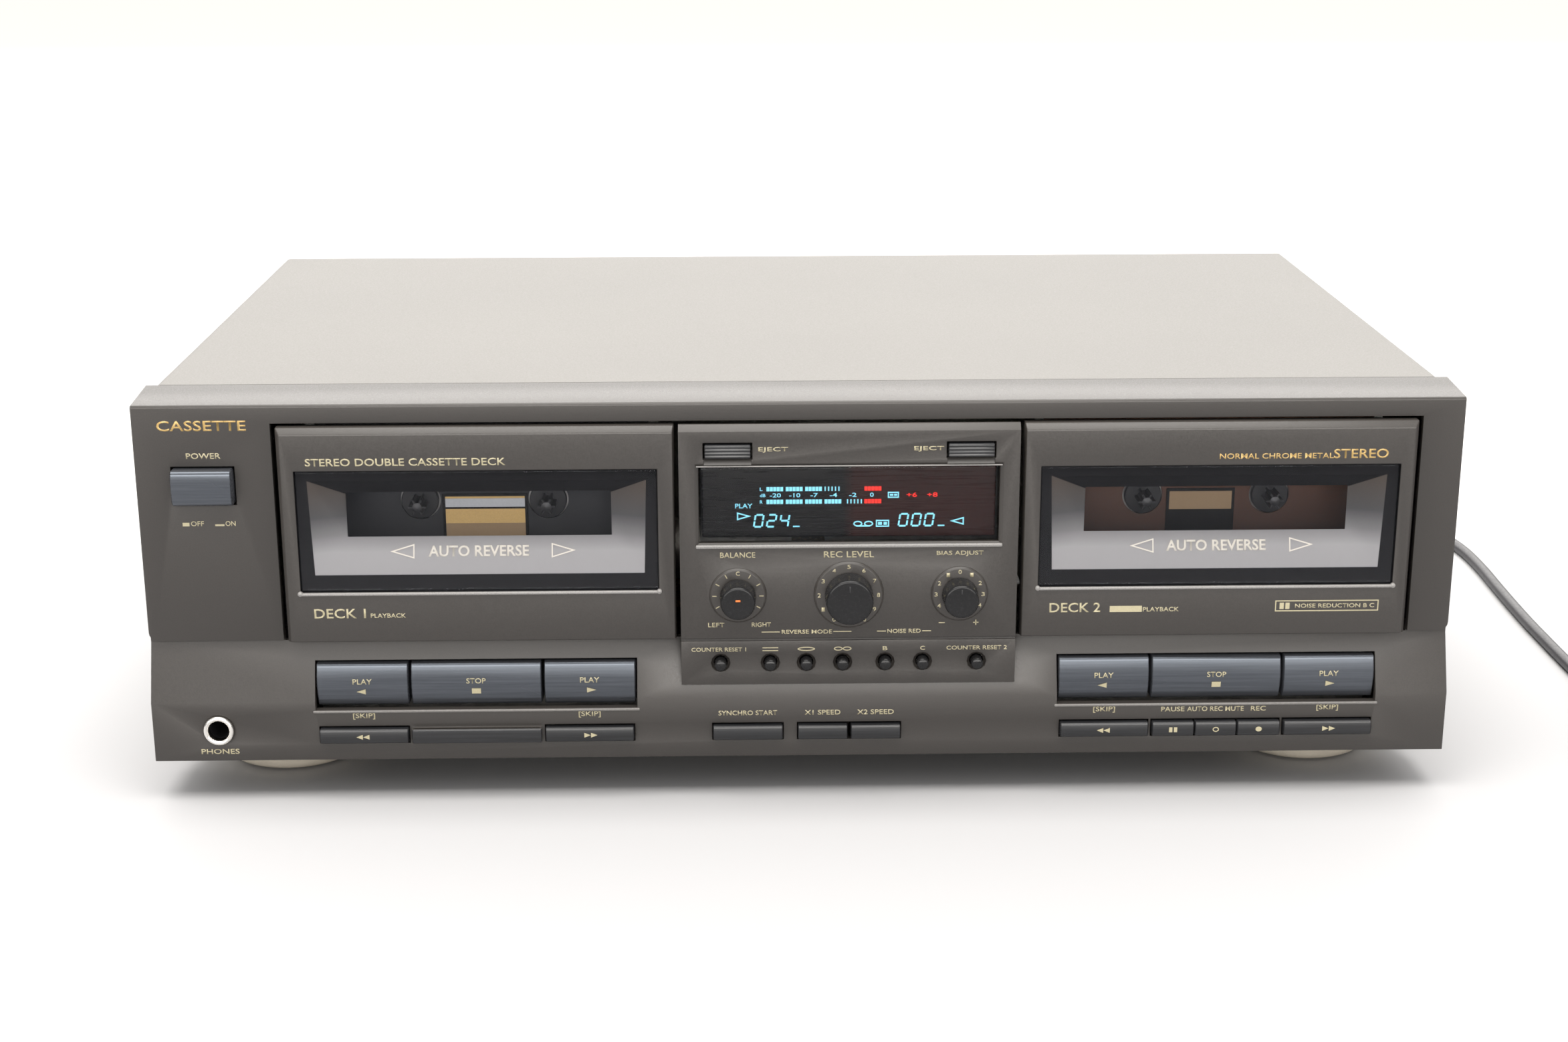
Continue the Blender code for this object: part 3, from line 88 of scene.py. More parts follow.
@contextmanager
def editing(piece, mode="VERT"):
    """Edit mode on one piece with nothing selected."""
    pick(piece)
    bpy.ops.object.mode_set(mode="EDIT")
    bpy.ops.mesh.select_mode(type=mode)
    bpy.ops.mesh.select_all(action="DESELECT")
    yield bmesh.from_edit_mesh(piece.data)
    bpy.ops.object.mode_set(mode="OBJECT")


def choose(piece, elements, test):
    """Selects the elements that pass a test, in edit mode."""
    bpy.ops.mesh.select_all(action="DESELECT")
    for element in elements:
        element.select_set(test(element))
    bmesh.update_edit_mesh(piece.data)


def settle(piece, name):
    """Names a new piece and moves its place into its mesh."""
    pick(piece)
    bpy.ops.object.transform_apply(location=True, rotation=True, scale=True)
    piece.name = name
    piece.data.name = name
    return piece


def again(piece, place, turn=(0, 0, 0), name="copy"):
    """A copy of a piece with a mesh of its own, turned and moved."""
    pick(piece)
    bpy.ops.object.duplicate(linked=False)
    made = bpy.context.object
    made.rotation_euler = turn
    made.location = place
    return settle(made, name)


def apply_modifier(piece, kind, **settings):
    """Adds a modifier with these settings and applies it."""
    pick(piece)
    modifier = piece.modifiers.new(kind.title(), kind)
    for key, value in settings.items():
        setattr(modifier, key, value)
    bpy.ops.object.modifier_apply(modifier=modifier.name)


def round_edges(piece, width, segments=2, angle=30):
    apply_modifier(
        piece,
        "BEVEL",
        width=width,
        segments=segments,
        limit_method="ANGLE",
        angle_limit=math.radians(angle),
        use_clamp_overlap=True,
        loop_slide=False,
    )


def smooth(piece, angle=35):
    pick(piece)
    bpy.ops.object.shade_smooth_by_angle(angle=math.radians(angle))


def tidy_normals(piece):
    """Merges doubles and turns the faces outwards."""
    with editing(piece):
        bpy.ops.mesh.select_all(action="SELECT")
        bpy.ops.mesh.remove_doubles(threshold=1e-6)
        bpy.ops.mesh.normals_make_consistent(inside=False)


def join(name, pieces):
    """One piece out of several, under the name."""
    pick(*pieces)
    if len(pieces) > 1:
        bpy.ops.object.join()
    made = bpy.context.view_layer.objects.active
    made.name = name
    made.data.name = name
    return made


def cut(piece, *cutters):
    """Takes the cutters out of the piece, and removes them."""
    for cutter in cutters:
        apply_modifier(piece, "BOOLEAN", operation="DIFFERENCE", solver="EXACT", object=cutter)
        bpy.data.objects.remove(cutter)


# Shapes


def at(x, depth, z):
    """The place at a depth behind the face plane."""
    return Vector((x, FACE_Y + depth, z))


def grow(pair, amount):
    return pair[0] - amount, pair[1] + amount


def middle(node):
    low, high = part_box(node)
    return (low + high) / 2


def add_block(name, x, depth, z, edge=0.0, segments=3):
    """A box between pairs of X, depth and Z, with round edges."""
    low, high = at(x[0], depth[0], z[0]), at(x[1], depth[1], z[1])
    bpy.ops.mesh.primitive_cube_add(size=1, location=(low + high) / 2, scale=high - low)
    piece = settle(bpy.context.object, name)
    if edge:
        round_edges(piece, edge, segments)
        smooth(piece)
    return piece


def add_turned(name, profile, centre, axis="Y", sides=SIDES, ring=False, angle=35):
    """Extrudes a circle ring by ring through pairs of radius and height, then lays it along its axis."""
    radius, level = profile[0]
    fill = "NOTHING" if ring else "NGON"
    bpy.ops.mesh.primitive_circle_add(vertices=sides, radius=radius, fill_type=fill, location=(0, 0, level))
    piece = settle(bpy.context.object, name)
    with editing(piece):
        bpy.ops.mesh.select_all(action="SELECT")
        for next_radius, next_level in profile[1:]:
            rise = {"value": (0, 0, next_level - level)}
            bpy.ops.mesh.extrude_region_move(TRANSFORM_OT_translate=rise)
            share = next_radius / radius
            bpy.ops.transform.resize(value=(share, share, 1), center_override=(0, 0, next_level))
            radius, level = next_radius, next_level
    tidy_normals(piece)
    if axis == "Y":
        piece.rotation_euler = (math.radians(-90), 0, 0)
    elif axis == "X":
        piece.rotation_euler = (0, math.radians(90), 0)
    piece.location = centre
    settle(piece, name)
    smooth(piece, angle)
    return piece


def add_sign(corners, centre, size, turn=0.0, line=0.0, tilt=0.0):
    """A flat printed sign on a front face: a filled or outlined polygon of a given width and height."""
    bpy.ops.mesh.primitive_circle_add(vertices=corners, radius=1, fill_type="NGON")
    piece = bpy.context.object
    piece.rotation_euler = (0, 0, math.radians(turn))
    settle(piece, "sign")
    width, height, _ = piece.dimensions
    piece.scale = (size[0] / width, size[1] / height, 1)
    settle(piece, "sign")
    if line:
        with editing(piece, "FACE"):
            bpy.ops.mesh.select_all(action="SELECT")
            bpy.ops.mesh.inset(thickness=line)
            bpy.ops.mesh.delete(type="FACE")
    return print_on(piece, "sign", centre, tilt)


def print_on(piece, name, centre, tilt=0.0):
    """Stands a flat piece up at a place on the front, facing forward, and gives it its ink's thickness."""
    piece.rotation_euler = (math.radians(90 + tilt), 0, 0)
    piece.location = Vector(centre) + Vector((0, -PRINT_LIFT, 0))
    settle(piece, name)
    apply_modifier(piece, "SOLIDIFY", thickness=PRINT_THICK, offset=0.0)
    tidy_normals(piece)
    return piece


def add_words(name, words, centre, size, tilt=0.0, back=False, weight=0.010):
    """Printed words on a front face, centred on a place and fitted to a width and height."""
    bpy.ops.object.text_add()
    writing = bpy.context.object
    writing.data.body = words
    writing.data.align_x = "CENTER"
    writing.data.align_y = "CENTER"
    writing.data.resolution_u = 3
    writing.data.offset = weight
    pick(writing)
    bpy.ops.object.convert(target="MESH")
    piece = bpy.context.object
    tidy_normals(piece)
    corners = [vertex.co for vertex in piece.data.vertices]
    low = Vector(min(corner[axis] for corner in corners) for axis in range(2)).to_3d()
    high = Vector(max(corner[axis] for corner in corners) for axis in range(2)).to_3d()
    span = high - low
    piece.location = -(low + high) / 2
    settle(piece, name)
    piece.scale = (size[0] / span.x, size[1] / span.y, 1)
    if back:
        piece.rotation_euler = (0, math.pi, 0)
    settle(piece, name)
    return print_on(piece, name, centre, tilt)


def add_rows(rows, depth):
    """Words on a flat front face: rows of text, centre X, centre Z, width and height."""
    return [add_words("word", text, at(x, depth, z), (width, height)) for text, x, z, width, height in rows]


def copy_node(node, name, edge=0.0, segments=2, angle=35):
    """A finished copy of a CAD node: merged, with its flat faces whole again and its edges rounded."""
    pick(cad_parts[node])
    made = bpy.data.objects.new(name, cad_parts[node].data.copy())
    bpy.context.scene.collection.objects.link(made)
    made.data.name = name
    with editing(made):
        bpy.ops.mesh.select_all(action="SELECT")
        bpy.ops.mesh.remove_doubles(threshold=2e-6)
        bpy.ops.mesh.dissolve_limited(angle_limit=math.radians(0.6))
    if edge:
        round_edges(made, edge, segments)
    smooth(made, angle)
    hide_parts(node)
    return made


def fit(piece, body, slot, *finishes):
    """Gives a piece its finishes and its body; the slot is not used."""
    piece.data.materials.clear()
    for painted_reflection in finishes:
        piece.data.materials.append(bpy.data.materials[painted_reflection])
    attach(piece, body)
    return piece


# Finishes


def new_finish(name, color, roughness, metallic=0.0):
    made = bpy.data.materials.new(name)
    made.use_nodes = True
    made.diffuse_color = (*color, 1.0)
    shader = made.node_tree.nodes["Principled BSDF"]
    shader.inputs["Base Color"].default_value = (*color, 1.0)
    shader.inputs["Roughness"].default_value = roughness
    shader.inputs["Metallic"].default_value = metallic
    return made, shader


def add_node(made, kind, **inputs):
    node = made.node_tree.nodes.new(kind)
    for key, value in inputs.items():
        node.inputs[key.replace("_", " ")].default_value = value
    return node


def place(made, stretch=(1, 1, 1), turn=(0, 0, 0)):
    """Object coordinates, stretched and turned."""
    source = made.node_tree.nodes.new("ShaderNodeTexCoord")
    mapping = add_node(made, "ShaderNodeMapping", Scale=stretch, Rotation=turn)
    made.node_tree.links.new(source.outputs["Object"], mapping.inputs["Vector"])
    return mapping.outputs["Vector"]


def along(made, axis):
    """One of the piece's own coordinates."""
    split = made.node_tree.nodes.new("ShaderNodeSeparateXYZ")
    made.node_tree.links.new(place(made), split.inputs["Vector"])
    return split.outputs[axis]


def noise(made, where, scale, detail=3.0, rough=0.55):
    node = add_node(made, "ShaderNodeTexNoise", Scale=scale, Detail=detail, Roughness=rough)
    made.node_tree.links.new(where, node.inputs["Vector"])
    return node.outputs["Fac"]


def between(made, factor, low, high, start=0.3, stop=0.7):
    """A number that goes from low to high as a pattern goes from start to stop."""
    node = add_node(made, "ShaderNodeMapRange", From_Min=start, From_Max=stop, To_Min=low, To_Max=high)
    made.node_tree.links.new(factor, node.inputs["Value"])
    return node.outputs["Result"]


def tones(made, factor, stops):
    """Colours along a pattern: pairs of position and colour."""
    ramp = made.node_tree.nodes.new("ShaderNodeValToRGB")
    elements = ramp.color_ramp.elements
    while len(elements) < len(stops):
        elements.new(0.5)
    for element, (position, color) in zip(elements, stops):
        element.position = position
        element.color = (*color, 1.0)
    made.node_tree.links.new(factor, ramp.inputs["Fac"])
    return ramp.outputs["Color"]


def bump(made, shader, height, strength, distance):
    node = add_node(made, "ShaderNodeBump", Strength=strength, Distance=distance)
    made.node_tree.links.new(height, node.inputs["Height"])
    made.node_tree.links.new(node.outputs["Normal"], shader.inputs["Normal"])


def shaded(color, share):
    return tuple(min(1.0, channel * share) for channel in color)


def feed(made, output, shader, socket):
    made.node_tree.links.new(output, shader.inputs[socket])


def grained(
    name, color, roughness, metallic=0.0, scale=1500.0, stretch=(1, 1, 1), tint=0.12, spread=0.08, relief=0.15
):
    """A finish with fine grain in its colour, gloss and surface, over a soft large variation."""
    made, shader = new_finish(name, color, roughness, metallic)
    where = place(made, stretch)
    fine = noise(made, where, scale, 4.0)
    broad = noise(made, place(made), 9.0, 2.0)
    mixed = made.node_tree.nodes.new("ShaderNodeMath")
    mixed.operation = "MULTIPLY_ADD"
    mixed.inputs[1].default_value = 0.7
    made.node_tree.links.new(fine, mixed.inputs[0])
    share = made.node_tree.nodes.new("ShaderNodeMath")
    share.operation = "MULTIPLY"
    share.inputs[1].default_value = 0.3
    made.node_tree.links.new(broad, share.inputs[0])
    made.node_tree.links.new(share.outputs[0], mixed.inputs[2])
    stops = [(0.35, shaded(color, 1 - tint)), (0.65, shaded(color, 1 + tint))]
    feed(made, tones(made, mixed.outputs[0], stops), shader, "Base Color")
    feed(made, between(made, fine, roughness - spread, roughness + spread), shader, "Roughness")
    bump(made, shader, fine, relief, 0.00006)
    return shader


def brushed(name, color, roughness, metallic=0.0, tint=0.35, relief=0.12):
    """A finish with fine horizontal brush lines."""
    made, shader = new_finish(name, color, roughness, metallic)
    lines = noise(made, place(made, (16, 900, 900)), 1.6, 5.0, 0.7)
    patches = noise(made, place(made, (8, 60, 60)), 1.0, 2.0)
    stops = [(0.36, shaded(color, 1 - tint)), (0.64, shaded(color, 1 + tint))]
    feed(made, tones(made, lines, stops), shader, "Base Color")
    feed(made, between(made, patches, roughness - 0.07, roughness + 0.09), shader, "Roughness")
    bump(made, shader, lines, relief, 0.00005)
    shader.inputs["Anisotropic"].default_value = 0.4
    return shader


def smoked(name, tint, gloss_share):
    """Dark clear plastic: a tinted view through it under a clear gloss, with faint wiping marks."""
    made = bpy.data.materials.new(name)
    made.use_nodes = True
    made.node_tree.nodes.remove(made.node_tree.nodes["Principled BSDF"])
    clear = add_node(made, "ShaderNodeBsdfTransparent", Color=(*tint, 1.0))
    gloss = add_node(made, "ShaderNodeBsdfGlossy", Color=(0.9, 0.93, 1.0, 1.0))
    marks = noise(made, place(made, (30, 30, 120)), 1.0, 3.0)
    feed(made, between(made, marks, 0.03, 0.10), gloss, "Roughness")
    angle = made.node_tree.nodes.new("ShaderNodeLayerWeight")
    blend = made.node_tree.nodes.new("ShaderNodeMixShader")
    share = between(made, angle.outputs["Facing"], gloss_share, 0.4, 0.55, 1.0)
    made.node_tree.links.new(share, blend.inputs[0])
    made.node_tree.links.new(clear.outputs["BSDF"], blend.inputs[1])
    made.node_tree.links.new(gloss.outputs["BSDF"], blend.inputs[2])
    output = made.node_tree.nodes["Material Output"]
    made.node_tree.links.new(blend.outputs["Shader"], output.inputs["Surface"])
    made.diffuse_color = (*shaded(tint, 0.1), 0.5)


def lit(name, color, strength):
    """A glowing display segment, brightest in its middle tones."""
    made, shader = new_finish(name, shaded(color, 0.4), 0.6)
    phosphor = noise(made, place(made), 3000.0, 2.0)
    stops = [(0.3, shaded(color, 0.75)), (0.7, color)]
    feed(made, tones(made, phosphor, stops), shader, "Emission Color")
    shader.inputs["Emission Strength"].default_value = strength


def galvanised(name, color):
    """Zinc plated sheet: soft flakes of tone and gloss."""
    made, shader = new_finish(name, color, 0.38, 0.9)
    flakes = add_node(made, "ShaderNodeTexVoronoi", Scale=160.0)
    made.node_tree.links.new(place(made), flakes.inputs["Vector"])
    stops = [(0.2, shaded(color, 0.82)), (0.8, shaded(color, 1.08))]
    feed(made, tones(made, flakes.outputs["Color"], stops), shader, "Base Color")
    fine = noise(made, place(made, (1, 1, 6)), 400.0, 3.0)
    feed(made, between(made, fine, 0.30, 0.46), shader, "Roughness")
    bump(made, shader, fine, 0.06, 0.00004)


def laminated(name, color):
    """Stacked iron sheets, seen as fine upright lines."""
    made, shader = new_finish(name, color, 0.5, 0.8)
    lines = add_node(made, "ShaderNodeTexWave", Scale=320.0, Distortion=0.6, Detail=2.0)
    lines.bands_direction = "Y"
    made.node_tree.links.new(place(made), lines.inputs["Vector"])
    stops = [(0.2, shaded(color, 0.55)), (0.7, shaded(color, 1.3))]
    feed(made, tones(made, lines.outputs["Fac"], stops), shader, "Base Color")
    bump(made, shader, lines.outputs["Fac"], 0.3, 0.0001)


def circuit(name, color, copper):
    """Circuit board: copper tracks under brown lacquer."""
    made, shader = new_finish(name, color, 0.45)
    tracks = add_node(made, "ShaderNodeTexBrick", Scale=110.0)
    tracks.inputs["Mortar Size"].default_value = 0.06
    tracks.inputs["Color1"].default_value = (*color, 1.0)
    tracks.inputs["Color2"].default_value = (*shaded(color, 0.8), 1.0)
    tracks.inputs["Mortar"].default_value = (*copper, 1.0)
    made.node_tree.links.new(place(made), tracks.inputs["Vector"])
    feed(made, tracks.outputs["Color"], shader, "Base Color")
    fine = noise(made, place(made), 500.0)
    feed(made, between(made, fine, 0.35, 0.55), shader, "Roughness")


def dish_glow(name, low_color, high_color, roughness, level, height):
    """Moulded plastic with a painted reflection: its tone changes with height."""
    made, shader = new_finish(name, low_color, roughness)
    grain = noise(made, place(made), 900.0, 3.0)
    rise = between(made, along(made, "Z"), 0.0, 1.0, level, level + height)
    feed(made, tones(made, rise, [(0.0, low_color), (1.0, high_color)]), shader, "Base Color")
    feed(made, between(made, grain, roughness - 0.06, roughness + 0.06), shader, "Roughness")
    bump(made, shader, grain, 0.1, 0.00005)


def colour(name, description, default):
    return FloatVectorProperty(name=name, description=description, subtype="COLOR", size=3, default=default)


class DeckColours(bpy.types.PropertyGroup):
    """Main colours of the deck."""

    panel: colour("Panel", "Moulded front panel and doors", (0.042, 0.037, 0.033))
    cover: colour("Cover", "Painted steel cover", (0.120, 0.113, 0.103))
    # Painted sheen: this key colour is raised to stand for reflections; the thin keys use 0.4 of it.
    keys: colour("Keys", "Brushed keys", (0.040, 0.042, 0.048))
    knobs: colour("Knobs", "Turning knobs and buttons", (0.012, 0.012, 0.013))
    legends: colour("Legends", "Pale gold printing", (0.56, 0.50, 0.32))
    mask: colour("Window mask", "Silver bevels behind the windows", (0.58, 0.57, 0.565))
    feet: colour("Feet", "Champagne feet", (0.92, 0.84, 0.70))
    segments: colour("Display", "Lit display segments", (0.22, 0.62, 0.80))
    peaks: colour("Peaks", "Lit red segments", (1.0, 0.03, 0.02))
    lead: colour("Lead", "Mains lead", (0.018, 0.017, 0.021))


class DeckSizes(bpy.types.PropertyGroup):
    """Fine sizes that only the looks use."""

    panel_edge: FloatProperty(
        name="Panel edges", description="Rounding of moulded edges", unit="LENGTH", default=0.00035, min=0.0
    )
    glass_edge: FloatProperty(
        name="Window edges", description="Rounding of the smoked windows", unit="LENGTH",
        default=0.0004, min=0.0,
    )
    lens: FloatProperty(name="Lens", description="Focal length in millimetres", default=53.283, min=10.0)
    camera_height: FloatProperty(
        name="Camera height", description="Height of the camera", unit="LENGTH", default=0.31162
    )
    camera_distance: FloatProperty(
        name="Camera distance", description="From the face plane to the camera", unit="LENGTH", default=0.7251
    )


class DECK_OT_finishes(bpy.types.Operator):
    """Make every finish of the deck"""

    bl_idname = "deck.finishes"
    bl_label = "Finishes"

    def execute(self, context):
        colours = context.scene.deck_colours
        grained("panel_finish", tuple(colours.panel), 0.40, scale=2400.0, tint=0.10, relief=0.16)
        grained("cover_finish", tuple(colours.cover), 0.50, scale=1800.0, tint=0.08, relief=0.22)
        # Painted sheen: the broad keys' colour is raised to stand for the bright reflections on them; the
        # thin keys use 0.4 of it, without the painted sheen.
        shader = brushed("key_painted_sheen", tuple(colours.keys), 0.27)
        shader.inputs["IOR"].default_value = 1.75
        shader.inputs["Specular Tint"].default_value = (0.78, 0.87, 1.0, 1.0)
        brushed("thin_key_plain_finish", shaded(tuple(colours.keys), 0.4), 0.30)
        shader = grained("knob_finish", tuple(colours.knobs), 0.24, scale=900.0, relief=0.04)
        shader.inputs["Specular IOR Level"].default_value = 0.28
        grained("print_finish", tuple(colours.legends), 0.5, scale=6000.0, tint=0.14, relief=0.05)
        grained("gold_finish", (0.60, 0.40, 0.14), 0.40, 0.1, scale=6000.0, tint=0.12, relief=0.05)
        make_mask_finish(tuple(colours.mask))
        # Painted highlight: the lips and the rim over the display are panel plastic painted light grey.
        grained("lip_painted_highlight", (0.30, 0.29, 0.28), 0.30, scale=2400.0, relief=0.06)
        # Painted highlight: the sills are the panel's plastic made lighter grey.
        grained("sill_painted_highlight", (0.20, 0.19, 0.18), 0.34, scale=2400.0, relief=0.06)
        shader = grained("mask_print_painted_glow", (0.95, 0.90, 0.78), 0.5, scale=6000.0, tint=0.04, relief=0.04)
        # Painted light: the mask print glows a little of its own.
        shader.inputs["Emission Color"].default_value = (1.0, 0.93, 0.80, 1.0)
        shader.inputs["Emission Strength"].default_value = 0.22
        shader = grained("border_finish", (0.005, 0.005, 0.006), 0.50, scale=700.0, relief=0.03)
        shader.inputs["Specular IOR Level"].default_value = 0.15
        smoked("door_glass", (0.88, 0.88, 0.89), 0.009)
        smoked("display_glass", (0.78, 0.78, 0.78), 0.008)
        lit("segment_light", tuple(colours.segments), 2.6)
        lit("peak_light", tuple(colours.peaks), 2.4)
        # Painted reflection: glowing bands that stand for reflections seen in the windows.
        lit("gold_painted_glow", (0.95, 0.62, 0.22), 0.45)
        lit("pale_painted_glow", (0.80, 0.82, 0.84), 0.42)
        lit("dim_painted_glow", (0.75, 0.50, 0.26), 0.20)
        feet = tuple(colours.feet)
        grained("feet_finish", feet, 0.36, 0.15, scale=700.0, stretch=(1, 1, 8), tint=0.05, relief=0.05)
        nickel = (0.74, 0.72, 0.69)
        grained("nickel_finish", nickel, 0.20, 1.0, scale=500.0, tint=0.05, spread=0.06, relief=0.04)
        grained("rubber_finish", (0.014, 0.014, 0.015), 0.70, scale=900.0, relief=0.20)
        grained("lead_finish", tuple(colours.lead), 0.40, scale=1200.0, tint=0.15, relief=0.08)
        grained("black_finish", (0.014, 0.014, 0.016), 0.42, scale=1300.0, relief=0.15)
        grained("white_finish", (0.75, 0.74, 0.70), 0.40, scale=900.0, relief=0.06)
        grained("red_finish", (0.52, 0.02, 0.02), 0.40, scale=900.0, relief=0.06)
        grained("orange_finish", (0.95, 0.22, 0.03), 0.40, scale=900.0, relief=0.04)
        grained("brass_finish", (0.70, 0.52, 0.24), 0.28, 1.0, scale=500.0, tint=0.06, relief=0.04)
        grained("tape_finish", (0.70, 0.42, 0.06), 0.45, scale=300.0, relief=0.08)
        galvanised("zinc_finish", (0.58, 0.57, 0.54))
        laminated("core_finish", (0.20, 0.19, 0.18))
        circuit("board_finish", (0.16, 0.09, 0.035), (0.36, 0.20, 0.08))
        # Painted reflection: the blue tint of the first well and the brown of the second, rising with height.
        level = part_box("cassette_holder_1")[0].z
        dish_glow("well_1_finish", (0.004, 0.005, 0.006), (0.008, 0.010, 0.016), 0.50, level, 0.06)
        dish_glow("well_2_finish", (0.060, 0.017, 0.006), (0.150, 0.046, 0.012), 0.50, level + 0.02, 0.02)
        make_tube_finish()
        return {"FINISHED"}


def make_mask_finish(color):
    """Silver paint with painted shade that darkens it towards the top of the window, and a brown painted
    reflection at the very top.
    """
    made, shader = new_finish("mask_painted_shade", color, 0.40)
    low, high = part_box("door_window_1")
    rise = between(made, along(made, "Z"), 0.0, 1.0, low.z, high.z)
    # Painted shade: the silver darkens with height; the brown last stop is a painted reflection.
    stops = [(0.30, color), (0.44, shaded(color, 0.50)), (0.60, shaded(color, 0.16))]
    stops.append((0.86, (0.10, 0.075, 0.055)))
    feed(made, tones(made, rise, stops), shader, "Base Color")
    grain = noise(made, place(made), 3000.0)
    feed(made, between(made, grain, 0.34, 0.46), shader, "Roughness")
    bump(made, shader, grain, 0.08, 0.00005)


def make_tube_finish():
    """Display tube: black on the left, deep red on the right, as its colour filter."""
    made, shader = new_finish("tube_finish", (0.004, 0.004, 0.005), 0.30)
    low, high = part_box("display_window")
    edge = low.x + (high.x - low.x) * 0.48
    side = between(made, along(made, "X"), 0.0, 1.0, edge, edge + 0.004)
    mesh_lines = noise(made, place(made, (1, 1, 30)), 60.0, 2.0)
    stops = [(0.0, (0.003, 0.003, 0.004)), (1.0, (0.050, 0.006, 0.003))]
    feed(made, tones(made, side, stops), shader, "Base Color")
    feed(made, between(made, mesh_lines, 0.22, 0.38), shader, "Roughness")


class DECK_OT_stage(bpy.types.Operator):
    """Make the camera, the floor and the soft lights"""

    bl_idname = "deck.stage"
    bl_label = "Stage"

    pitch = math.radians(16.674)
    yaw = math.radians(1.066)
    roll = math.radians(-0.133)
    camera_x = -0.01924

    def execute(self, context):
        sizes = context.scene.deck_sizes
        bpy.ops.object.camera_add(location=at(self.camera_x, -sizes.camera_distance, sizes.camera_height))
        camera = context.object
        aim = Euler((math.pi / 2 - self.pitch, 0, -self.yaw)).to_matrix()
        camera.rotation_euler = (aim @ Matrix.Rotation(self.roll, 3, "Z")).to_euler()
        camera.data.lens = sizes.lens
        camera.data.sensor_width = 36.0
        camera.data.clip_start = 0.01
        context.scene.camera = camera
        self.make_floor()
        self.make_lights(context)
        return {"FINISHED"}

    def make_floor(self):
        bpy.ops.mesh.primitive_plane_add(size=12)
        floor = settle(bpy.context.object, "floor")
        with editing(floor, "FACE"):
            bpy.ops.mesh.select_all(action="SELECT")
            bpy.ops.mesh.subdivide(number_cuts=4)
        made, shader = new_finish("floor_finish", (0.46, 0.46, 0.47), 0.55)
        shader.inputs["Specular IOR Level"].default_value = 0.0
        run = between(made, along(made, "Y"), 0.0, 1.0, -1.0, 1.0)
        stops = [(0.25, (0.44, 0.44, 0.45)), (0.55, (0.52, 0.52, 0.53)), (0.80, (0.80, 0.79, 0.77))]
        feed(made, tones(made, run, stops), shader, "Base Color")
        streaks = noise(made, place(made, (6, 0.6, 1)), 40.0, 4.0)
        feed(made, between(made, streaks, 0.48, 0.62), shader, "Roughness")
        floor.data.materials.append(made)

    def make_lights(self, context):
        context.scene.view_settings.view_transform = "Standard"
        self.make_world(context)
        self.add_panel_light("rear_light", (0.1, 2.0, 1.30), (3.2, 1.4), 40, math.radians(-62))
        self.add_panel_light("top_light", (-0.1, -0.40, 1.6), (1.8, 1.2), 40, 0.0)
        self.add_panel_light("front_light", (-0.1, -2.3, 0.95), (6.4, 0.8), 128, math.radians(70))
        context.object.visible_diffuse = False
        self.add_panel_light("fill_light", (-0.2, -2.3, 0.45), (2.6, 0.3), 7, math.radians(82))

    def make_world(self, context):
        """Pale all round, brightest behind the deck and dimmest below the horizon."""
        world = bpy.data.worlds.new("studio")
        context.scene.world = world
        world.use_nodes = True
        tree = world.node_tree
        coordinates = tree.nodes.new("ShaderNodeTexCoord")
        split = tree.nodes.new("ShaderNodeSeparateXYZ")
        tree.links.new(coordinates.outputs["Generated"], split.inputs["Vector"])
        depth = between(world, split.outputs["Y"], 0.90, 2.0, -0.2, 0.6)
        height = between(world, split.outputs["Z"], 0.20, 1.0, 0.0, 0.40)
        product = tree.nodes.new("ShaderNodeMath")
        product.operation = "MULTIPLY"
        tree.links.new(depth, product.inputs[0])
        tree.links.new(height, product.inputs[1])
        background = tree.nodes["Background"]
        background.inputs["Color"].default_value = (1.0, 0.985, 0.96, 1.0)
        tree.links.new(product.outputs[0], background.inputs["Strength"])

    def add_panel_light(self, name, location, size, power, turn):
        bpy.ops.object.light_add(type="AREA", location=location, rotation=(turn, 0, 0))
        light = bpy.context.object
        light.name = name
        light.data.shape = "RECTANGLE"
        light.data.size, light.data.size_y = size
        light.data.energy = power
        light.data.color = (1.0, 0.97, 0.93)


# Mains lead

LEAD_DIAMETER = 0.0048
LEAD_LEVEL = 0.00245
LEAD_FARTHEST = 0.3442          # depth that the middle of the lead stays within
LEAD_ROUTE = [
    (0.1700, 0.2829, 0.0340),
    (0.1700, 0.2930, 0.0338),
    (0.1706, 0.3040, 0.0305),
    (0.1735, 0.3160, 0.0205),
    (0.1795, 0.3275, 0.0095),
    (0.1895, 0.3370, 0.0035),
    (0.2035, 0.3430, LEAD_LEVEL),
    (0.2220, 0.3445, LEAD_LEVEL),
    (0.2430, 0.3390, LEAD_LEVEL),
    (0.2625, 0.3275, LEAD_LEVEL),
    (0.2790, 0.3110, LEAD_LEVEL),
    (0.2910, 0.2910, LEAD_LEVEL),
    (0.2980, 0.2700, LEAD_LEVEL),
    (0.3007, 0.2500, LEAD_LEVEL),
    (0.3008, 0.2270, LEAD_LEVEL),
    (0.2996, 0.2020, LEAD_LEVEL),
    (0.2985, 0.1770, LEAD_LEVEL),
    (0.2978, 0.1540, LEAD_LEVEL),
    (0.2976, 0.1340, LEAD_LEVEL),
    (0.2975, 0.1140, LEAD_LEVEL),
    (0.2975, 0.0953, LEAD_LEVEL),
]
CORD_GAP = 0.0003               # between the end of the lead and the plug
COIL_INNER = 0.0192             # radius of the innermost turn, and of the outermost
COIL_OUTER = 0.0348
COIL_DEPTH = 0.0750
COIL_TURNS = 3.25               # in each of the two layers
POINTS_PER_TURN = 28


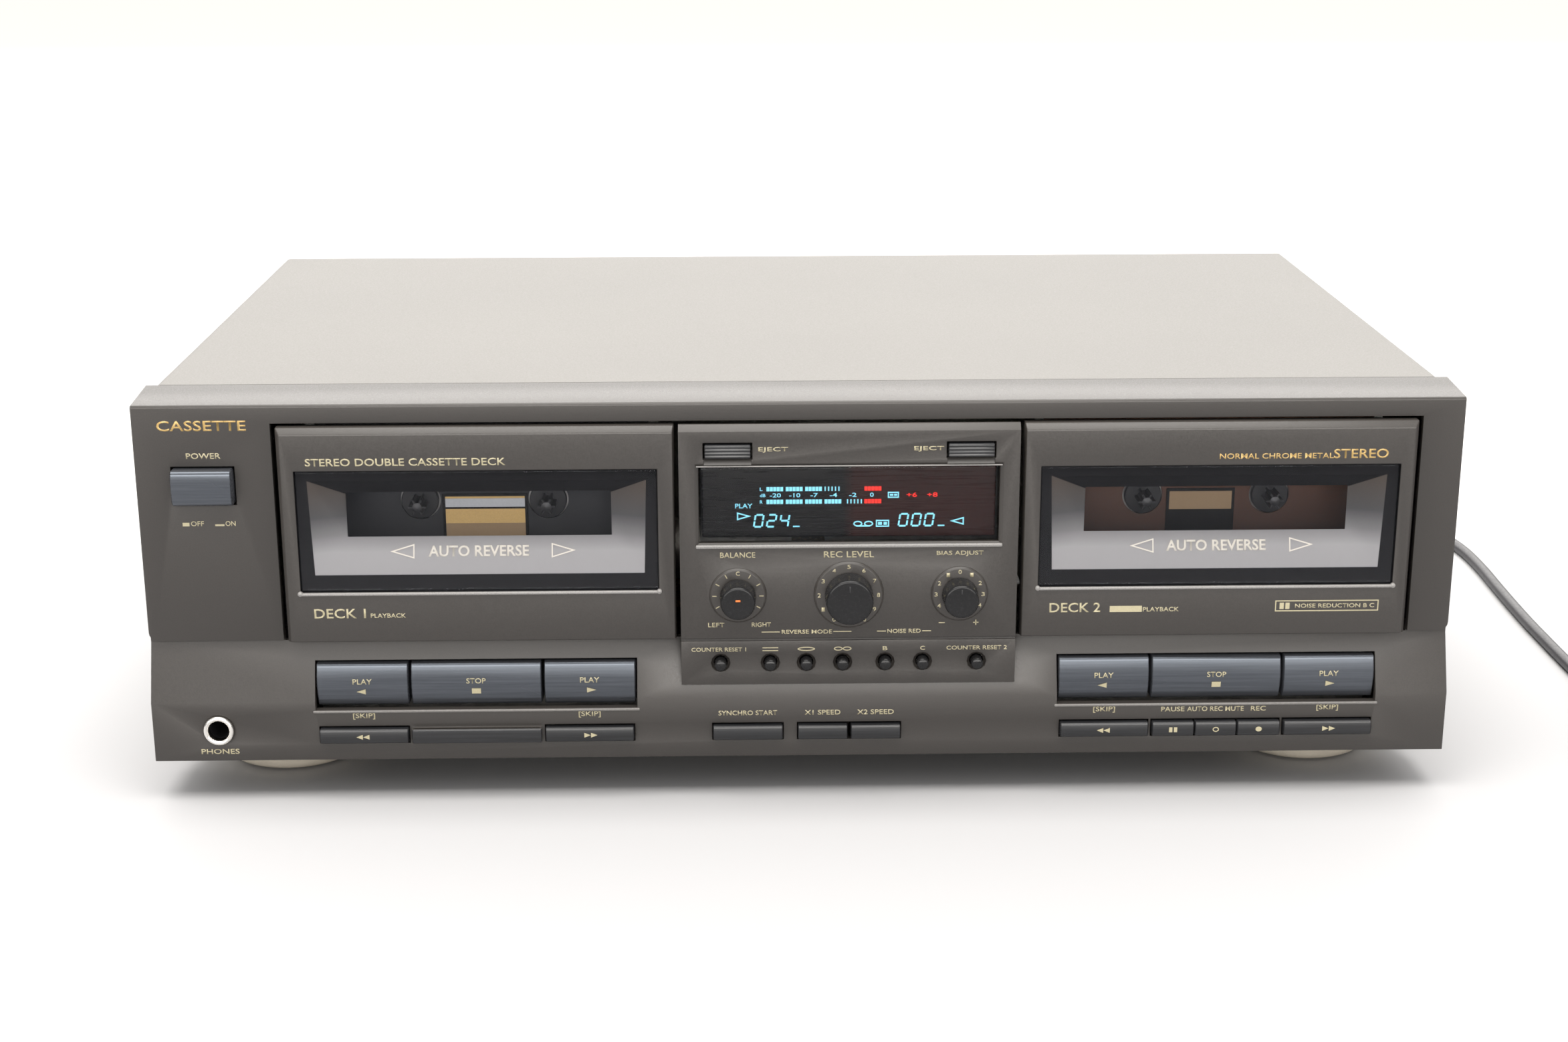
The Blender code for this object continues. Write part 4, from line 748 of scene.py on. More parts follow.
def smooth_curve(points, parts=5):
    """Points along a smooth curve through the given ones."""
    ends = [2 * points[0] - points[1], *points, 2 * points[-1] - points[-2]]
    fine = []
    for before, start, stop, after in zip(ends, ends[1:], ends[2:], ends[3:]):
        for part in range(parts):
            t = part / parts
            bend = (2 * before - 5 * start + 4 * stop - after) * t**2
            twist = (3 * start - before - 3 * stop + after) * t**3
            fine.append(0.5 * (2 * start + (stop - before) * t + bend + twist))
    return [*fine, points[-1]]


def coil_points():
    """Two flat layers: wound inwards on the floor, up at the middle, and outwards again on top."""
    centre = at(LEAD_ROUTE[-1][0] + COIL_OUTER, COIL_DEPTH, 0)
    lift_turns = 0.5
    total = 2 * COIL_TURNS + lift_turns
    count = round(total * POINTS_PER_TURN)
    points = []
    for step in range(count + 1):
        turns = total * step / count
        inward = min(turns, COIL_TURNS)
        outward = max(0.0, turns - COIL_TURNS - lift_turns)
        pitch = (COIL_OUTER - COIL_INNER) / COIL_TURNS
        radius = COIL_OUTER - pitch * inward + pitch * outward
        share = max(0.0, min(1.0, (turns - COIL_TURNS) / (lift_turns * 0.75)))
        radius -= 0.0007 * math.sin(math.pi * max(0.0, min(1.0, (turns - COIL_TURNS) / lift_turns)))
        rise = LEAD_DIAMETER * share * share * (3 - 2 * share)
        angle = math.pi + 2 * math.pi * turns
        offset = Vector((radius * math.cos(angle), radius * math.sin(angle), LEAD_LEVEL + rise))
        points.append(centre + offset)
    return points


class DECK_OT_lead(bpy.types.Operator):
    """Lay the mains lead with its coil, and make its strain relief, plug and tie"""

    bl_idname = "deck.lead"
    bl_label = "Mains lead"

    def execute(self, context):
        low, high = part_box("mains_plug")
        route = smooth_curve([at(*point) for point in LEAD_ROUTE])
        for point in route:
            point.z = max(point.z, LEAD_LEVEL)
            point.y = min(point.y, at(0, LEAD_FARTHEST, 0).y)
        coil = coil_points()
        last = coil[-1]
        end = Vector((last.x, high.y + CORD_GAP, last.z))
        stub = [last.lerp(end, share) for share in (0.4, 0.7, 1.0)]
        points = [*route, *coil, *stub]
        lead = self.make_tube(points)
        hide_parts("mains_cord", "cord_coil")
        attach(lead, CASE)
        relief = self.make_relief()
        plug = self.make_plug(low, high)
        tie = self.make_tie()
        return {"FINISHED"}

    def make_tube(self, points):
        bpy.ops.curve.primitive_nurbs_path_add()
        lead = bpy.context.object
        lead.location = (0, 0, 0)
        lead.name = "mains_lead"
        curve = lead.data
        curve.name = "mains_lead"
        curve.splines.clear()
        spline = curve.splines.new("POLY")
        spline.points.add(len(points) - 1)
        for target, point in zip(spline.points, points):
            target.co = (*point, 1.0)
        curve.bevel_depth = LEAD_DIAMETER / 2
        curve.bevel_resolution = 4
        curve.use_fill_caps = True
        curve.materials.append(bpy.data.materials["lead_finish"])
        return lead

    def make_relief(self):
        """A sleeve with soft ribs that taper towards the lead."""
        low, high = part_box("strain_relief")
        centre = middle("strain_relief")
        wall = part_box("chassis_tray")[1].y
        flange = (high.x - low.x) / 2
        neck = 0.0053
        tip = LEAD_DIAMETER / 2 + 0.0009
        body = high.y - wall - 0.0042
        profile = [(0.0040, low.y - wall), (0.0060, low.y - wall), (flange, -0.0034), (flange, -0.0016)]
        profile += [(0.0050, -0.0015), (0.0050, 0.0003), (flange, 0.0003), (flange - 0.0003, 0.0026)]
        profile += [(neck + 0.0008, 0.0036)]
        ribs = 7
        for rib in range(ribs):
            radius = neck + (tip - neck) * (rib + 0.5) / ribs
            start = 0.0042 + body * rib / ribs
            pitch = body / ribs
            profile += [(radius - 0.0006, start), (radius - 0.0006, start + pitch * 0.3)]
            profile += [(radius, start + pitch * 0.42), (radius, start + pitch * 0.9)]
        profile += [(tip - 0.0003, high.y - wall)]
        relief = add_turned("lead_strain_relief", profile, (centre.x, wall, centre.z), sides=48, angle=40)
        fit(relief, CASE, "black_plastic", "lead_finish")
        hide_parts("strain_relief")
        return relief

    def make_plug(self, low, high):
        """A moulded two-pin plug with finger grooves and a ribbed tail."""
        centre = middle("mains_plug")
        tail = 0.0180
        pins = 0.0185
        front, back = low.y + pins, high.y - tail
        x, z = (low.x, high.x), (low.z, high.z)
        body = add_block("mains_plug_body", x, (front - FACE_Y, back - FACE_Y), z)
        round_edges(body, 0.0032, 5)
        with editing(body, "FACE"):
            bpy.ops.mesh.select_all(action="SELECT")
            bpy.ops.mesh.bisect(plane_co=(0, (front + back) / 2, 0), plane_no=(0, 1, 0))
        rings = []
        for share in (0.35, 0.5, 0.65):
            y = front + (back - front) * share - FACE_Y
            for side in (-1, 1):
                edge_x = centre.x + side * (high.x - low.x) / 2
                groove = (edge_x - 0.0007, edge_x + 0.0007)
                rings.append(add_block("groove", groove, (y - 0.0007, y + 0.0007), grow(z, 0.001)))
        cut(body, *rings)
        smooth(body, 30)
        profile = [(0.0056, -0.0010), (0.0056, 0.0010), (0.0050, 0.0020)]
        for rib in range(5):
            radius = 0.0048 - 0.0003 * rib
            start = 0.0022 + rib * 0.0030
            profile += [(radius - 0.0005, start), (radius - 0.0005, start + 0.0010)]
            profile += [(radius, start + 0.0013), (radius, start + 0.0027)]
        profile += [(0.0031, tail - 0.0004), (0.0028, tail)]
        sleeve = add_turned("plug_sleeve", profile, (centre.x, back, coil_level()), sides=40, angle=40)
        plug = join("mains_plug_shell", [sleeve, body])
        fit(plug, CASE, "cord_rubber", "lead_finish")
        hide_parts("mains_plug")
        made = []
        for side in (-1, 1):
            place_x = centre.x + side * 0.0093
            pin = [(0.0014, low.y - front), (0.0020, low.y - front + 0.0009), (0.0020, 0.0010)]
            made.append(add_turned("pin", pin, (place_x, front, coil_level()), sides=SMALL_SIDES))
        fit(join("mains_plug_pins", made), CASE, "nickel", "nickel_finish")
        return plug

    def make_tie(self):
        """A flat tie round the turns on the far side of the coil."""
        centre = at(LEAD_ROUTE[-1][0] + COIL_OUTER, COIL_DEPTH, 0)
        inner, outer = COIL_INNER - LEAD_DIAMETER / 2 - 0.0009, COIL_OUTER + 0.0002
        height = LEAD_LEVEL + 1.5 * LEAD_DIAMETER
        wall = 0.0008
        x = (centre.x + inner - wall, centre.x + outer + wall)
        depth = (COIL_DEPTH - 0.003, COIL_DEPTH + 0.003)
        band = add_block("lead_tie", x, depth, (0.0001, height + wall))
        hole = add_block("tie_hole", grow(x, -wall), grow(depth, 0.01), (wall, height))
        round_edges(band, 0.0012, 3)
        cut(band, hole)
        smooth(band)
        return fit(band, CASE, "black_plastic", "rubber_finish")


def coil_level():
    """Height of the top layer of the coil, where the lead enters the plug."""
    return LEAD_LEVEL + LEAD_DIAMETER


# Case


class DECK_OT_front_panel(bpy.types.Operator):
    """Round the edges of the moulded front panel and fit its blank bar and key sills"""

    bl_idname = "deck.front_panel"
    bl_label = "Front panel"

    def execute(self, context):
        sizes = context.scene.deck_sizes
        panel = copy_node("front_panel", "front_panel_shell", sizes.panel_edge)
        fit(panel, CASE, "panel_plastic", "panel_finish")
        self.make_blank_bar()
        self.make_key_sills()
        return {"FINISHED"}

    def make_blank_bar(self):
        """The fixed bar between the fast winding keys of the playback deck, which has no key there."""
        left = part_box("rewind_key_1")
        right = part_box("fast_forward_key_1")
        x = (left[1].x + 0.0012, right[0].x - 0.0012)
        front = left[0].y - FACE_Y - 0.0001
        bar = add_block("blank_bar", x, (front, front + 0.0018), (left[0].z, left[1].z), 0.0006)
        fit(bar, CASE, "key_plastic", "thin_key_plain_finish")

    def make_key_sills(self):
        """Raised moulded rims under the key rows, painted a lighter grey as a painted highlight."""
        rows = []
        for deck in (1, 2):
            first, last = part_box(f"play_reverse_key_{deck}"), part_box(f"play_forward_key_{deck}")
            z = first[0].z - 0.0011
            depth = -STRIP_PROUD + 0.0002
            rows.append(
                add_block(
                    "sill", (first[0].x - 0.0014, last[1].x + 0.0014), (depth - 0.0005, depth + 0.0006),
                    (z - 0.0005, z + 0.0004), 0.0003,
                )
            )
        fit(join("key_sills", rows), CASE, "panel_plastic", "sill_painted_highlight")


class DECK_OT_cover(bpy.types.Operator):
    """Finish the painted cover and add its screws"""

    bl_idname = "deck.cover"
    bl_label = "Top cover"

    def execute(self, context):
        cover = copy_node("top_cover", "top_cover_shell", angle=50)
        fit(cover, CASE, "cover_paint", "cover_finish")
        low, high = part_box("top_cover")
        places = []
        for side in (-1, 1):
            for share in (0.16, 0.86):
                spot = (side * high.x, low.y + (high.y - low.y) * share, low.z + 0.0075)
                places.append((spot, (0, math.radians(-90 * side), 0)))
        add_screws("cover_side_screws", 0.0036, "black_finish", places)
        return {"FINISHED"}


def add_screws(name, radius, painted_reflection, places):
    """Pan head screws with a cross recess: one is made, and copied to pairs of a place and a turn."""
    head = [(radius, 0), (radius, -0.0007), (radius * 0.86, -0.0015)]
    head += [(radius * 0.55, -0.0020), (0.0004, -0.0022)]
    screw = add_turned("screw", head, (0, 0, 0), axis="Z", sides=28)
    arm = radius * 0.62
    cross = []
    for turn in (0, 90):
        bpy.ops.mesh.primitive_cube_add(size=1, location=(0, 0, -0.0018), scale=(arm * 2, 0.0009, 0.0018))
        bar = bpy.context.object
        bar.rotation_euler = (0, 0, math.radians(turn))
        cross.append(settle(bar, "cross"))
    cut(screw, *cross)
    copies = [again(screw, place, turn) for place, turn in places]
    bpy.data.objects.remove(screw)
    return fit(join(name, copies), CASE, "nickel", painted_reflection)


class DECK_OT_chassis(bpy.types.Operator):
    """Finish the chassis, its rear screws, its rear legends and the line sockets"""

    bl_idname = "deck.chassis"
    bl_label = "Chassis and rear"

    def execute(self, context):
        tray = copy_node("chassis_tray", "chassis_tray_shell", angle=30)
        fit(tray, CASE, "zinc_steel", "zinc_finish")
        low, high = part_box("chassis_tray")
        places = []
        for share, level in ((0.03, 0.12), (0.03, 0.88), (0.5, 0.94), (0.97, 0.12), (0.97, 0.88)):
            spot = (low.x + (high.x - low.x) * share, high.y, low.z + (high.z - low.z) * level)
            places.append((spot, (math.radians(90), 0, 0)))
        add_screws("rear_screws", 0.0032, "nickel_finish", places)
        self.make_sockets()
        self.make_rear_print(high.y)
        return {"FINISHED"}

    def make_sockets(self):
        """Four line sockets: a plated sleeve round a coloured insulator, on a dark plate."""
        low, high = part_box("line_jacks")
        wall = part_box("chassis_tray")[1].y
        centre = middle("line_jacks")
        pitch, radius = 0.0140, 0.0042
        reach = high.y - wall
        plate = add_block(
            "socket_plate", (low.x + 0.0006, high.x - 0.0006), (low.y - FACE_Y, wall - 0.0015 - FACE_Y),
            (low.z + 0.0006, high.z - 0.0006), 0.0004,
        )
        fit(plate, CASE, "black_plastic", "black_finish")
        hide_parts("line_jacks")
        outer = [(radius, -0.0016), (radius, reach - 0.0006), (radius - 0.0005, reach)]
        inner = [(radius - 0.0012, reach), (radius - 0.0012, 0.0008), (radius - 0.0012, -0.0016)]
        sleeve = add_turned("sleeve", [*outer, *inner, outer[0]], (0, 0, 0), sides=SMALL_SIDES, ring=True)
        core = [(radius - 0.0013, -0.0010), (radius - 0.0013, reach - 0.0012), (0.0018, reach - 0.0008)]
        core += [(0.0016, reach - 0.0009), (0.0016, reach - 0.0060)]
        insulator = add_turned("insulator", core, (0, 0, 0), sides=SMALL_SIDES)
        sleeves, insulators = [], {-1: [], 1: []}
        for row in (-1, 1):
            for column in (-1, 1):
                spot = (centre.x + column * pitch / 2, wall, centre.z + row * pitch / 2)
                sleeves.append(again(sleeve, spot))
                insulators[row].append(again(insulator, spot))
        bpy.data.objects.remove(sleeve)
        bpy.data.objects.remove(insulator)
        fit(join("line_sockets", sleeves), CASE, "nickel", "nickel_finish")
        fit(join("line_insulators_left", insulators[1]), CASE, "black_plastic", "white_finish")
        fit(join("line_insulators_right", insulators[-1]), CASE, "black_plastic", "red_finish")

    def make_rear_print(self, wall):
        centre = middle("line_jacks")
        rear = wall - FACE_Y + 2 * PRINT_LIFT
        words = [
            ("LINE OUT", centre.x + 0.0070, centre.z + 0.0180, 0.0110, 0.0017),
            ("LINE IN", centre.x - 0.0070, centre.z + 0.0180, 0.0085, 0.0017),
            ("L", centre.x + 0.0170, centre.z + 0.0070, 0.0011, 0.0020),
            ("R", centre.x + 0.0170, centre.z - 0.0070, 0.0015, 0.0020),
            ("AC IN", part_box("strain_relief")[0].x - 0.0070, middle("strain_relief").z, 0.0085, 0.0020),
        ]
        pieces = [
            add_words("rear_word", text, at(x, rear, z), (width, height), back=True)
            for text, x, z, width, height in words
        ]
        fit(join("rear_print", pieces), CASE, "black_plastic", "black_finish")


class DECK_OT_feet(bpy.types.Operator):
    """Turn the four feet: a champagne shell over a rubber ring"""

    bl_idname = "deck.feet"
    bl_label = "Feet"

    def execute(self, context):
        low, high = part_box("foot_front_left")
        radius = (high.x - low.x) / 2
        shell = self.make_shell(radius, high.z - low.z)
        ring = self.make_pad(radius)
        for corner in ("front_left", "front_right", "rear_left", "rear_right"):
            node = f"foot_{corner}"
            centre = middle(node)
            base = (centre.x, centre.y, low.z)
            foot = fit(again(shell, base, name=f"{node}_shell"), CASE, "foot_metal", "feet_finish")
            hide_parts(node)
            fit(again(ring, base, name=f"{node}_pad"), CASE, "black_plastic", "rubber_finish")
        bpy.data.objects.remove(shell)
        bpy.data.objects.remove(ring)
        return {"FINISHED"}

    def make_shell(self, radius, top):
        curve = 0.0032
        hem = 0.0009
        profile = [(0.0020, 0.0014), (radius - 0.0095, 0.0014), (radius - 0.0090, hem), (radius - curve, hem)]
        for step in range(1, 9):
            angle = math.radians(90 * step / 8)
            rise = hem + curve * 0.9 * (1 - math.cos(angle))
            profile.append((radius - curve + curve * math.sin(angle), rise))
        profile += [(radius, top - 0.0024), (radius - 0.0004, top - 0.0020), (radius - 0.0004, top - 0.0012)]
        profile += [(radius, top - 0.0008), (radius - 0.0004, top), (0.0020, top)]
        return add_turned("foot", profile, (0, 0, 0), axis="Z", sides=96)

    def make_pad(self, radius):
        inner, outer = radius - 0.0180, radius - 0.0100
        pad = [(inner, 0.0020), (inner, 0.0002), (inner + 0.0004, 0.0)]
        pad += [(outer - 0.0004, 0.0), (outer, 0.0002), (outer, 0.0020), (inner, 0.0020)]
        return add_turned("pad", pad, (0, 0, 0), axis="Z", sides=64, ring=True)


# Doors


class DECK_OT_doors(bpy.types.Operator):
    """Finish both doors: moulded frame, silver mask, smoked window, lower lip and holder"""

    bl_idname = "deck.doors"
    bl_label = "Doors"

    glass_recess = 0.0004

    def execute(self, context):
        for number in (1, 2):
            self.make_door(context, number)
            self.make_window(context, number)
            holder = copy_node(f"cassette_holder_{number}", f"cassette_holder_{number}_shell", 0.0002, 1)
            fit(holder, f"door_{number}_body", "black_plastic", "black_finish")
        return {"FINISHED"}

    def make_door(self, context, number):
        door = copy_node(f"door_{number}", f"door_{number}_shell", context.scene.deck_sizes.panel_edge)
        fit(door, f"door_{number}_body", "panel_plastic", "panel_finish", "border_finish", "mask_painted_shade")
        low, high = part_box(f"door_window_{number}")
        seat = high.y + 0.0001
        reach = 0.0004
        # Faces inside the window take the silver mask; the seat takes the real black border, and faces that
        # look down take black as painted shade.
        for face in door.data.polygons:
            spot = face.center
            inside = low.x - reach < spot.x < high.x + reach and low.z - reach < spot.z < high.z + reach
            if inside and spot.y > low.y + 0.0002:
                on_seat = spot.y < seat + 0.0004
                painted_shade_overhead = face.normal.z < -0.2
                face.material_index = 1 if on_seat or painted_shade_overhead else 2

    def make_window(self, context, number):
        low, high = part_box(f"door_window_{number}")
        x, z = (low.x, high.x), (low.z, high.z)
        depth = (low.y - FACE_Y, high.y - FACE_Y)
        edge = context.scene.deck_sizes.glass_edge
        window = add_block(f"door_window_{number}_glass", x, depth, z, edge, 3)
        body = f"door_{number}_body"
        fit(window, body, "smoked_glass", "door_glass")
        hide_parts(f"door_window_{number}")
        # The lower lip and its round ends are painted light grey as a painted highlight.
        lip_z = low.z - 0.0007
        lip = add_block(
            f"door_{number}_lip",
            (low.x - 0.0009, high.x + 0.0009),
            LIP_DEPTH,
            (lip_z - 0.0006, lip_z + 0.0004),
            0.0004,
        )
        lumps = [lip]
        for side_x in (low.x - 0.0004, high.x + 0.0004):
            spot = (side_x, FACE_Y - PANEL_PROUD, lip_z + 0.0001)
            bump_profile = [(0.0008, 0.0002), (0.0008, -0.0006), (0.0005, -0.0009), (0.0002, -0.0010)]
            lumps.append(add_turned("lump", bump_profile, spot, sides=SMALL_SIDES))
        fit(join(f"door_{number}_lip", lumps), body, "panel_plastic", "lip_painted_highlight")


class DECK_OT_wells(bpy.types.Operator):
    """Finish what the windows show: well covers, glowing bands of painted reflection, spindles, heads and
    transport plates
    """

    bl_idname = "deck.wells"
    bl_label = "Cassette wells"

    def execute(self, context):
        spindle = self.make_spindle()
        for number in (1, 2):
            plate = copy_node(f"transport_plate_{number}", f"transport_plate_{number}_shell", angle=30)
            fit(plate, CASE, "zinc_steel", "zinc_finish")
            self.make_cover(number)
            head = copy_node(f"head_block_{number}", f"head_block_{number}_shell", 0.0003, 2)
            fit(head, f"head_block_{number}_body", "nickel", "nickel_finish")
            for side in ("left", "right"):
                node = f"spindle_{number}_{side}"
                centre = middle(node)
                copy = again(spindle, (centre.x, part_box(node)[0].y, centre.z), name=f"{node}_shell")
                fit(copy, f"{node}_body", "black_plastic", "black_finish")
                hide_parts(node)
        bpy.data.objects.remove(spindle)
        return {"FINISHED"}

    def make_cover(self, number):
        """A moulded plate in front of the transport, open round the spindles and the head."""
        plate_low, plate_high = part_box(f"transport_plate_{number}")
        front = plate_low.y - FACE_Y
        holes = []
        for side in ("left", "right"):
            hub = middle(f"spindle_{number}_{side}")
            bore = [(0.0067, -0.01), (0.0067, 0.01)]
            holes.append(add_turned("hole", bore, (hub.x, plate_low.y, hub.z), sides=48))
        well = add_block(
            f"well_{number}_cover",
            (plate_low.x + 0.0030, plate_high.x - 0.0030),
            (front - 0.0012, front - 0.0002),
            (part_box(f"cassette_holder_{number}")[0].z + 0.0060, plate_high.z - 0.0010),
            0.0003,
        )
        cut(well, *holes)
        smooth(well, 30)
        # The cover's colour is a painted reflection that changes with height.
        fit(well, CASE, "black_plastic", f"well_{number}_finish")
        self.make_lamp(number, front - 0.0018)

    def make_lamp(self, number, front):
        """Glowing bands behind the cassette that paint in the reflections seen in the window: bands of light,
        dark and gold.
        """
        hub = middle(f"spindle_{number}_left").z
        centre = middle(f"door_{number}").x
        bands = {
            1: [
                (0.0006, 0.0012, "gold_painted_glow"),
                (-0.0024, 0.0005, "pale_painted_glow"),
                (-0.0080, -0.0031, "gold_painted_glow"),
                (-0.0130, -0.0080, "dim_painted_glow"),
            ],
            2: [(-0.0050, 0.0012, "dim_painted_glow")],
        }
        x = {1: (centre - 0.0130, centre + 0.0134), 2: (centre - 0.0122, centre + 0.0087)}
        back = front + 0.0007
        casing = add_block(
            f"well_{number}_glow_casing", grow(x[number], 0.0010), (front + 0.0002, back),
            (hub - 0.0140, hub + 0.0022), 0.0002,
        )
        fit(casing, CASE, "black_plastic", "border_finish")
        for index, (low, high, painted_reflection) in enumerate(bands[number]):
            band = add_block(f"well_{number}_glow_{index}", x[number], (front, back), (hub + low, hub + high))
            fit(band, CASE, "black_plastic", painted_reflection)

    def make_spindle(self):
        """A reel spindle with six drive fins under a pointed cap."""
        low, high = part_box("spindle_1_left")
        flange = (high.x - low.x) / 2
        profile = [(0.0004, 0.0), (0.0016, 0.0006), (0.0019, 0.0016), (0.0019, 0.0084)]
        profile += [(flange - 0.0003, 0.0086), (flange, 0.0089), (flange, 0.0099), (flange - 0.0003, 0.0102)]
        profile += [(0.0019, 0.0104), (0.0019, high.y - low.y)]
        pieces = [add_turned("post", profile, (0, 0, 0), sides=SMALL_SIDES)]
        bpy.ops.mesh.primitive_cube_add(size=1, location=(0.0016, 0.0046, 0), scale=(0.0028, 0.0078, 0.0008))
        fin = settle(bpy.context.object, "fin")
        round_edges(fin, 0.0002, 1)
        pieces += [again(fin, (0, 0, 0), (0, math.radians(60 * step), 0)) for step in range(6)]
        bpy.data.objects.remove(fin)
        return join("spindle", pieces)


class DECK_OT_inner_parts(bpy.types.Operator):
    """Finish the board and the transformer"""

    bl_idname = "deck.inner_parts"
    bl_label = "Inner parts"

    def execute(self, context):
        board = copy_node("main_board", "main_board_shell", angle=30)
        fit(board, CASE, "board", "board_finish", "zinc_finish", "lead_finish")
        low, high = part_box("main_board")
        top = low.z + 0.0116
        for face in board.data.polygons:
            if face.center.z > top:
                face.material_index = 1 if face.center.x > (low.x + high.x) / 2 else 2
        core = copy_node("power_transformer", "power_transformer_shell", angle=30)
        fit(core, CASE, "core_steel", "core_finish", "tape_finish")
        low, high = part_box("power_transformer")
        inner = 0.0085
        for face in core.data.polygons:
            past_core = abs(face.center.y - (low.y + high.y) / 2) > 0.0100
            if past_core and low.x + inner < face.center.x < high.x - inner:
                face.material_index = 1
        return {"FINISHED"}


# Centre panel


class DECK_OT_centre_panel(bpy.types.Operator):
    """Finish the centre panel and its dials"""

    bl_idname = "deck.centre_panel"
    bl_label = "Centre panel"

    def execute(self, context):
        panel = copy_node("centre_panel", "centre_panel_shell", context.scene.deck_sizes.panel_edge)
        fit(panel, CASE, "panel_plastic", "panel_finish", "border_finish")
        low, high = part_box("display_window")
        for face in panel.data.polygons:
            spot = face.center
            if low.x < spot.x < high.x and low.z < spot.z < high.z and spot.y > low.y + 0.0004:
                face.material_index = 1
        return {"FINISHED"}


class DECK_OT_display(bpy.types.Operator):
    """Make the display: smoked window, tube and lit segments"""

    bl_idname = "deck.display"
    bl_label = "Display"

    segment_height = 0.0014
    lean = 0.16

    def execute(self, context):
        low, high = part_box("display_window")
        self.left, self.base = low.x, low.z
        depth = (low.y - FACE_Y, high.y - FACE_Y)
        window = add_block("display_window_glass", (low.x, high.x), depth, (low.z, high.z), 0.0005, 4)
        fit(window, CASE, "smoked_glass", "display_glass")
        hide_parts("display_window")
        self.face = depth[1] + 0.0009
        tube_x, tube_z = (low.x + 0.0006, high.x - 0.0006), (low.z + 0.0006, high.z - 0.0006)
        tube = add_block("display_tube", tube_x, (self.face, self.face + 0.0030), tube_z, 0.0006)
        fit(tube, CASE, "black_plastic", "tube_finish")
        segments = [*self.make_meters(), *self.make_counters(), *self.make_signs()]
        fit(join("display_segments", segments), CASE, "smoked_glass", "segment_light")
        fit(join("display_peaks", self.make_peaks()), CASE, "smoked_glass", "peak_light")
        # The lip under the display and the thin rim over it are painted light grey as a painted highlight.
        lip = add_block(
            "display_lip", (low.x - 0.0014, high.x + 0.0015), LIP_DEPTH,
            (low.z - 0.0019, low.z - 0.0007), 0.0004,
        )
        rim = add_block(
            "rim", (low.x - 0.0010, high.x + 0.0010), (-PANEL_PROUD - 0.0003, -PANEL_PROUD + 0.0004),
            (high.z + 0.0004, high.z + 0.0008), 0.0002,
        )
        fit(join("display_lip", [rim, lip]), CASE, "panel_plastic", "lip_painted_highlight")
        return {"FINISHED"}

    def bar(self, x, width, z, height):
        """A lit rectangle: X from the window's left edge, Z from its lower edge."""
        x, z = self.left + x, self.base + z
        return add_block("bar", (x, x + width), (self.face - 0.0002, self.face + 0.0001), (z, z + height))

    def group(self, x, z, count=5, pitch=0.00112, share=0.86):
        return [self.bar(x + index * pitch, pitch * share, z, self.segment_height) for index in range(count)]

    def make_meters(self):
        upper, lower = 0.0163, 0.0120
        made = []
        for index in range(4):
            x = 0.0217 + index * 0.0063
            full = index < 3
            made += self.group(x, upper, share=0.86 if full else 0.35)
            made += self.group(x, lower)
        made += self.group(0.0217 + 4 * 0.0063 + 0.0010, lower, share=0.35)
        words = [("L", 0.0200, 0.0170), ("R", 0.0200, 0.0127), ("dB", 0.0205, 0.0149)]
        scale = [("-20", 0.0246), ("-10", 0.0309), ("-7", 0.0372)]
        scale += [("-4", 0.0435), ("-2", 0.0498), ("0", 0.0560)]
        for text, x, z in words:
            made.append(self.word(text, x, z, 0.0009 * len(text), 0.0011))
        for text, x in scale:
            made.append(self.word(text, x, 0.0149, 0.0012 * len(text), 0.0014))
        made += self.frame_of(0.0612, 0.0138, 0.0036, 0.0020)
        return made

    def word(self, text, x, z, width, height):
        spot = at(self.left + x, self.face - 0.0001, self.base + z)
        return add_words("word", text, spot, (width, height))

    def frame_of(self, x, z, width, height, line=0.00035):
        """A thin box with two marks in it."""
        edges = [self.bar(x, width, z, line), self.bar(x, width, z + height - line, line)]
        edges += [self.bar(x, line, z, height), self.bar(x + width - line, line, z, height)]
        inner = line * 2
        edges.append(self.bar(x + inner, width * 0.3, z + inner, height - 2 * inner))
        edges.append(self.bar(x + width * 0.58, width * 0.26, z + inner, height - 2 * inner))
        return edges

    def make_peaks(self):
        made = [*self.group(0.0536, 0.0163), *self.group(0.0536, 0.0120)]
        made.append(self.word("+6", 0.0690, 0.0148, 0.0034, 0.0015))
        made.append(self.word("+8", 0.0757, 0.0148, 0.0034, 0.0015))
        return made

    def digit(self, value, x, z, width=0.0032, height=0.0046, line=0.00055):
        """A slanted seven segment figure."""
        shapes = {"0": "abcdef", "2": "abged", "4": "fbgc"}
        half = height / 2
        spans = {
            "a": (line, height - line, width - 2 * line, line),
            "b": (width - line, half + line * 0.4, line, half - 1.2 * line),
            "c": (width - line, line * 0.8, line, half - 1.2 * line),
            "d": (line, 0, width - 2 * line, line),
            "e": (0, line * 0.8, line, half - 1.2 * line),
            "f": (0, half + line * 0.4, line, half - 1.2 * line),
            "g": (line, half - line / 2, width - 2 * line, line),
        }
        made = []
        for name in shapes[value]:
            dx, dz, w, h = spans[name]
            made.append(self.bar(x + dx, w, z + dz, h))
        figure = join("figure", made)
        with editing(figure) as bm:
            for level in sorted({round(vertex.co.z * MICRONS) for vertex in bm.verts}):
                choose(figure, bm.verts, lambda vertex: round(vertex.co.z * MICRONS) == level)
                shift = (level / MICRONS - self.base - z) * self.lean
                bpy.ops.transform.translate(value=(shift, 0, 0))
        return figure

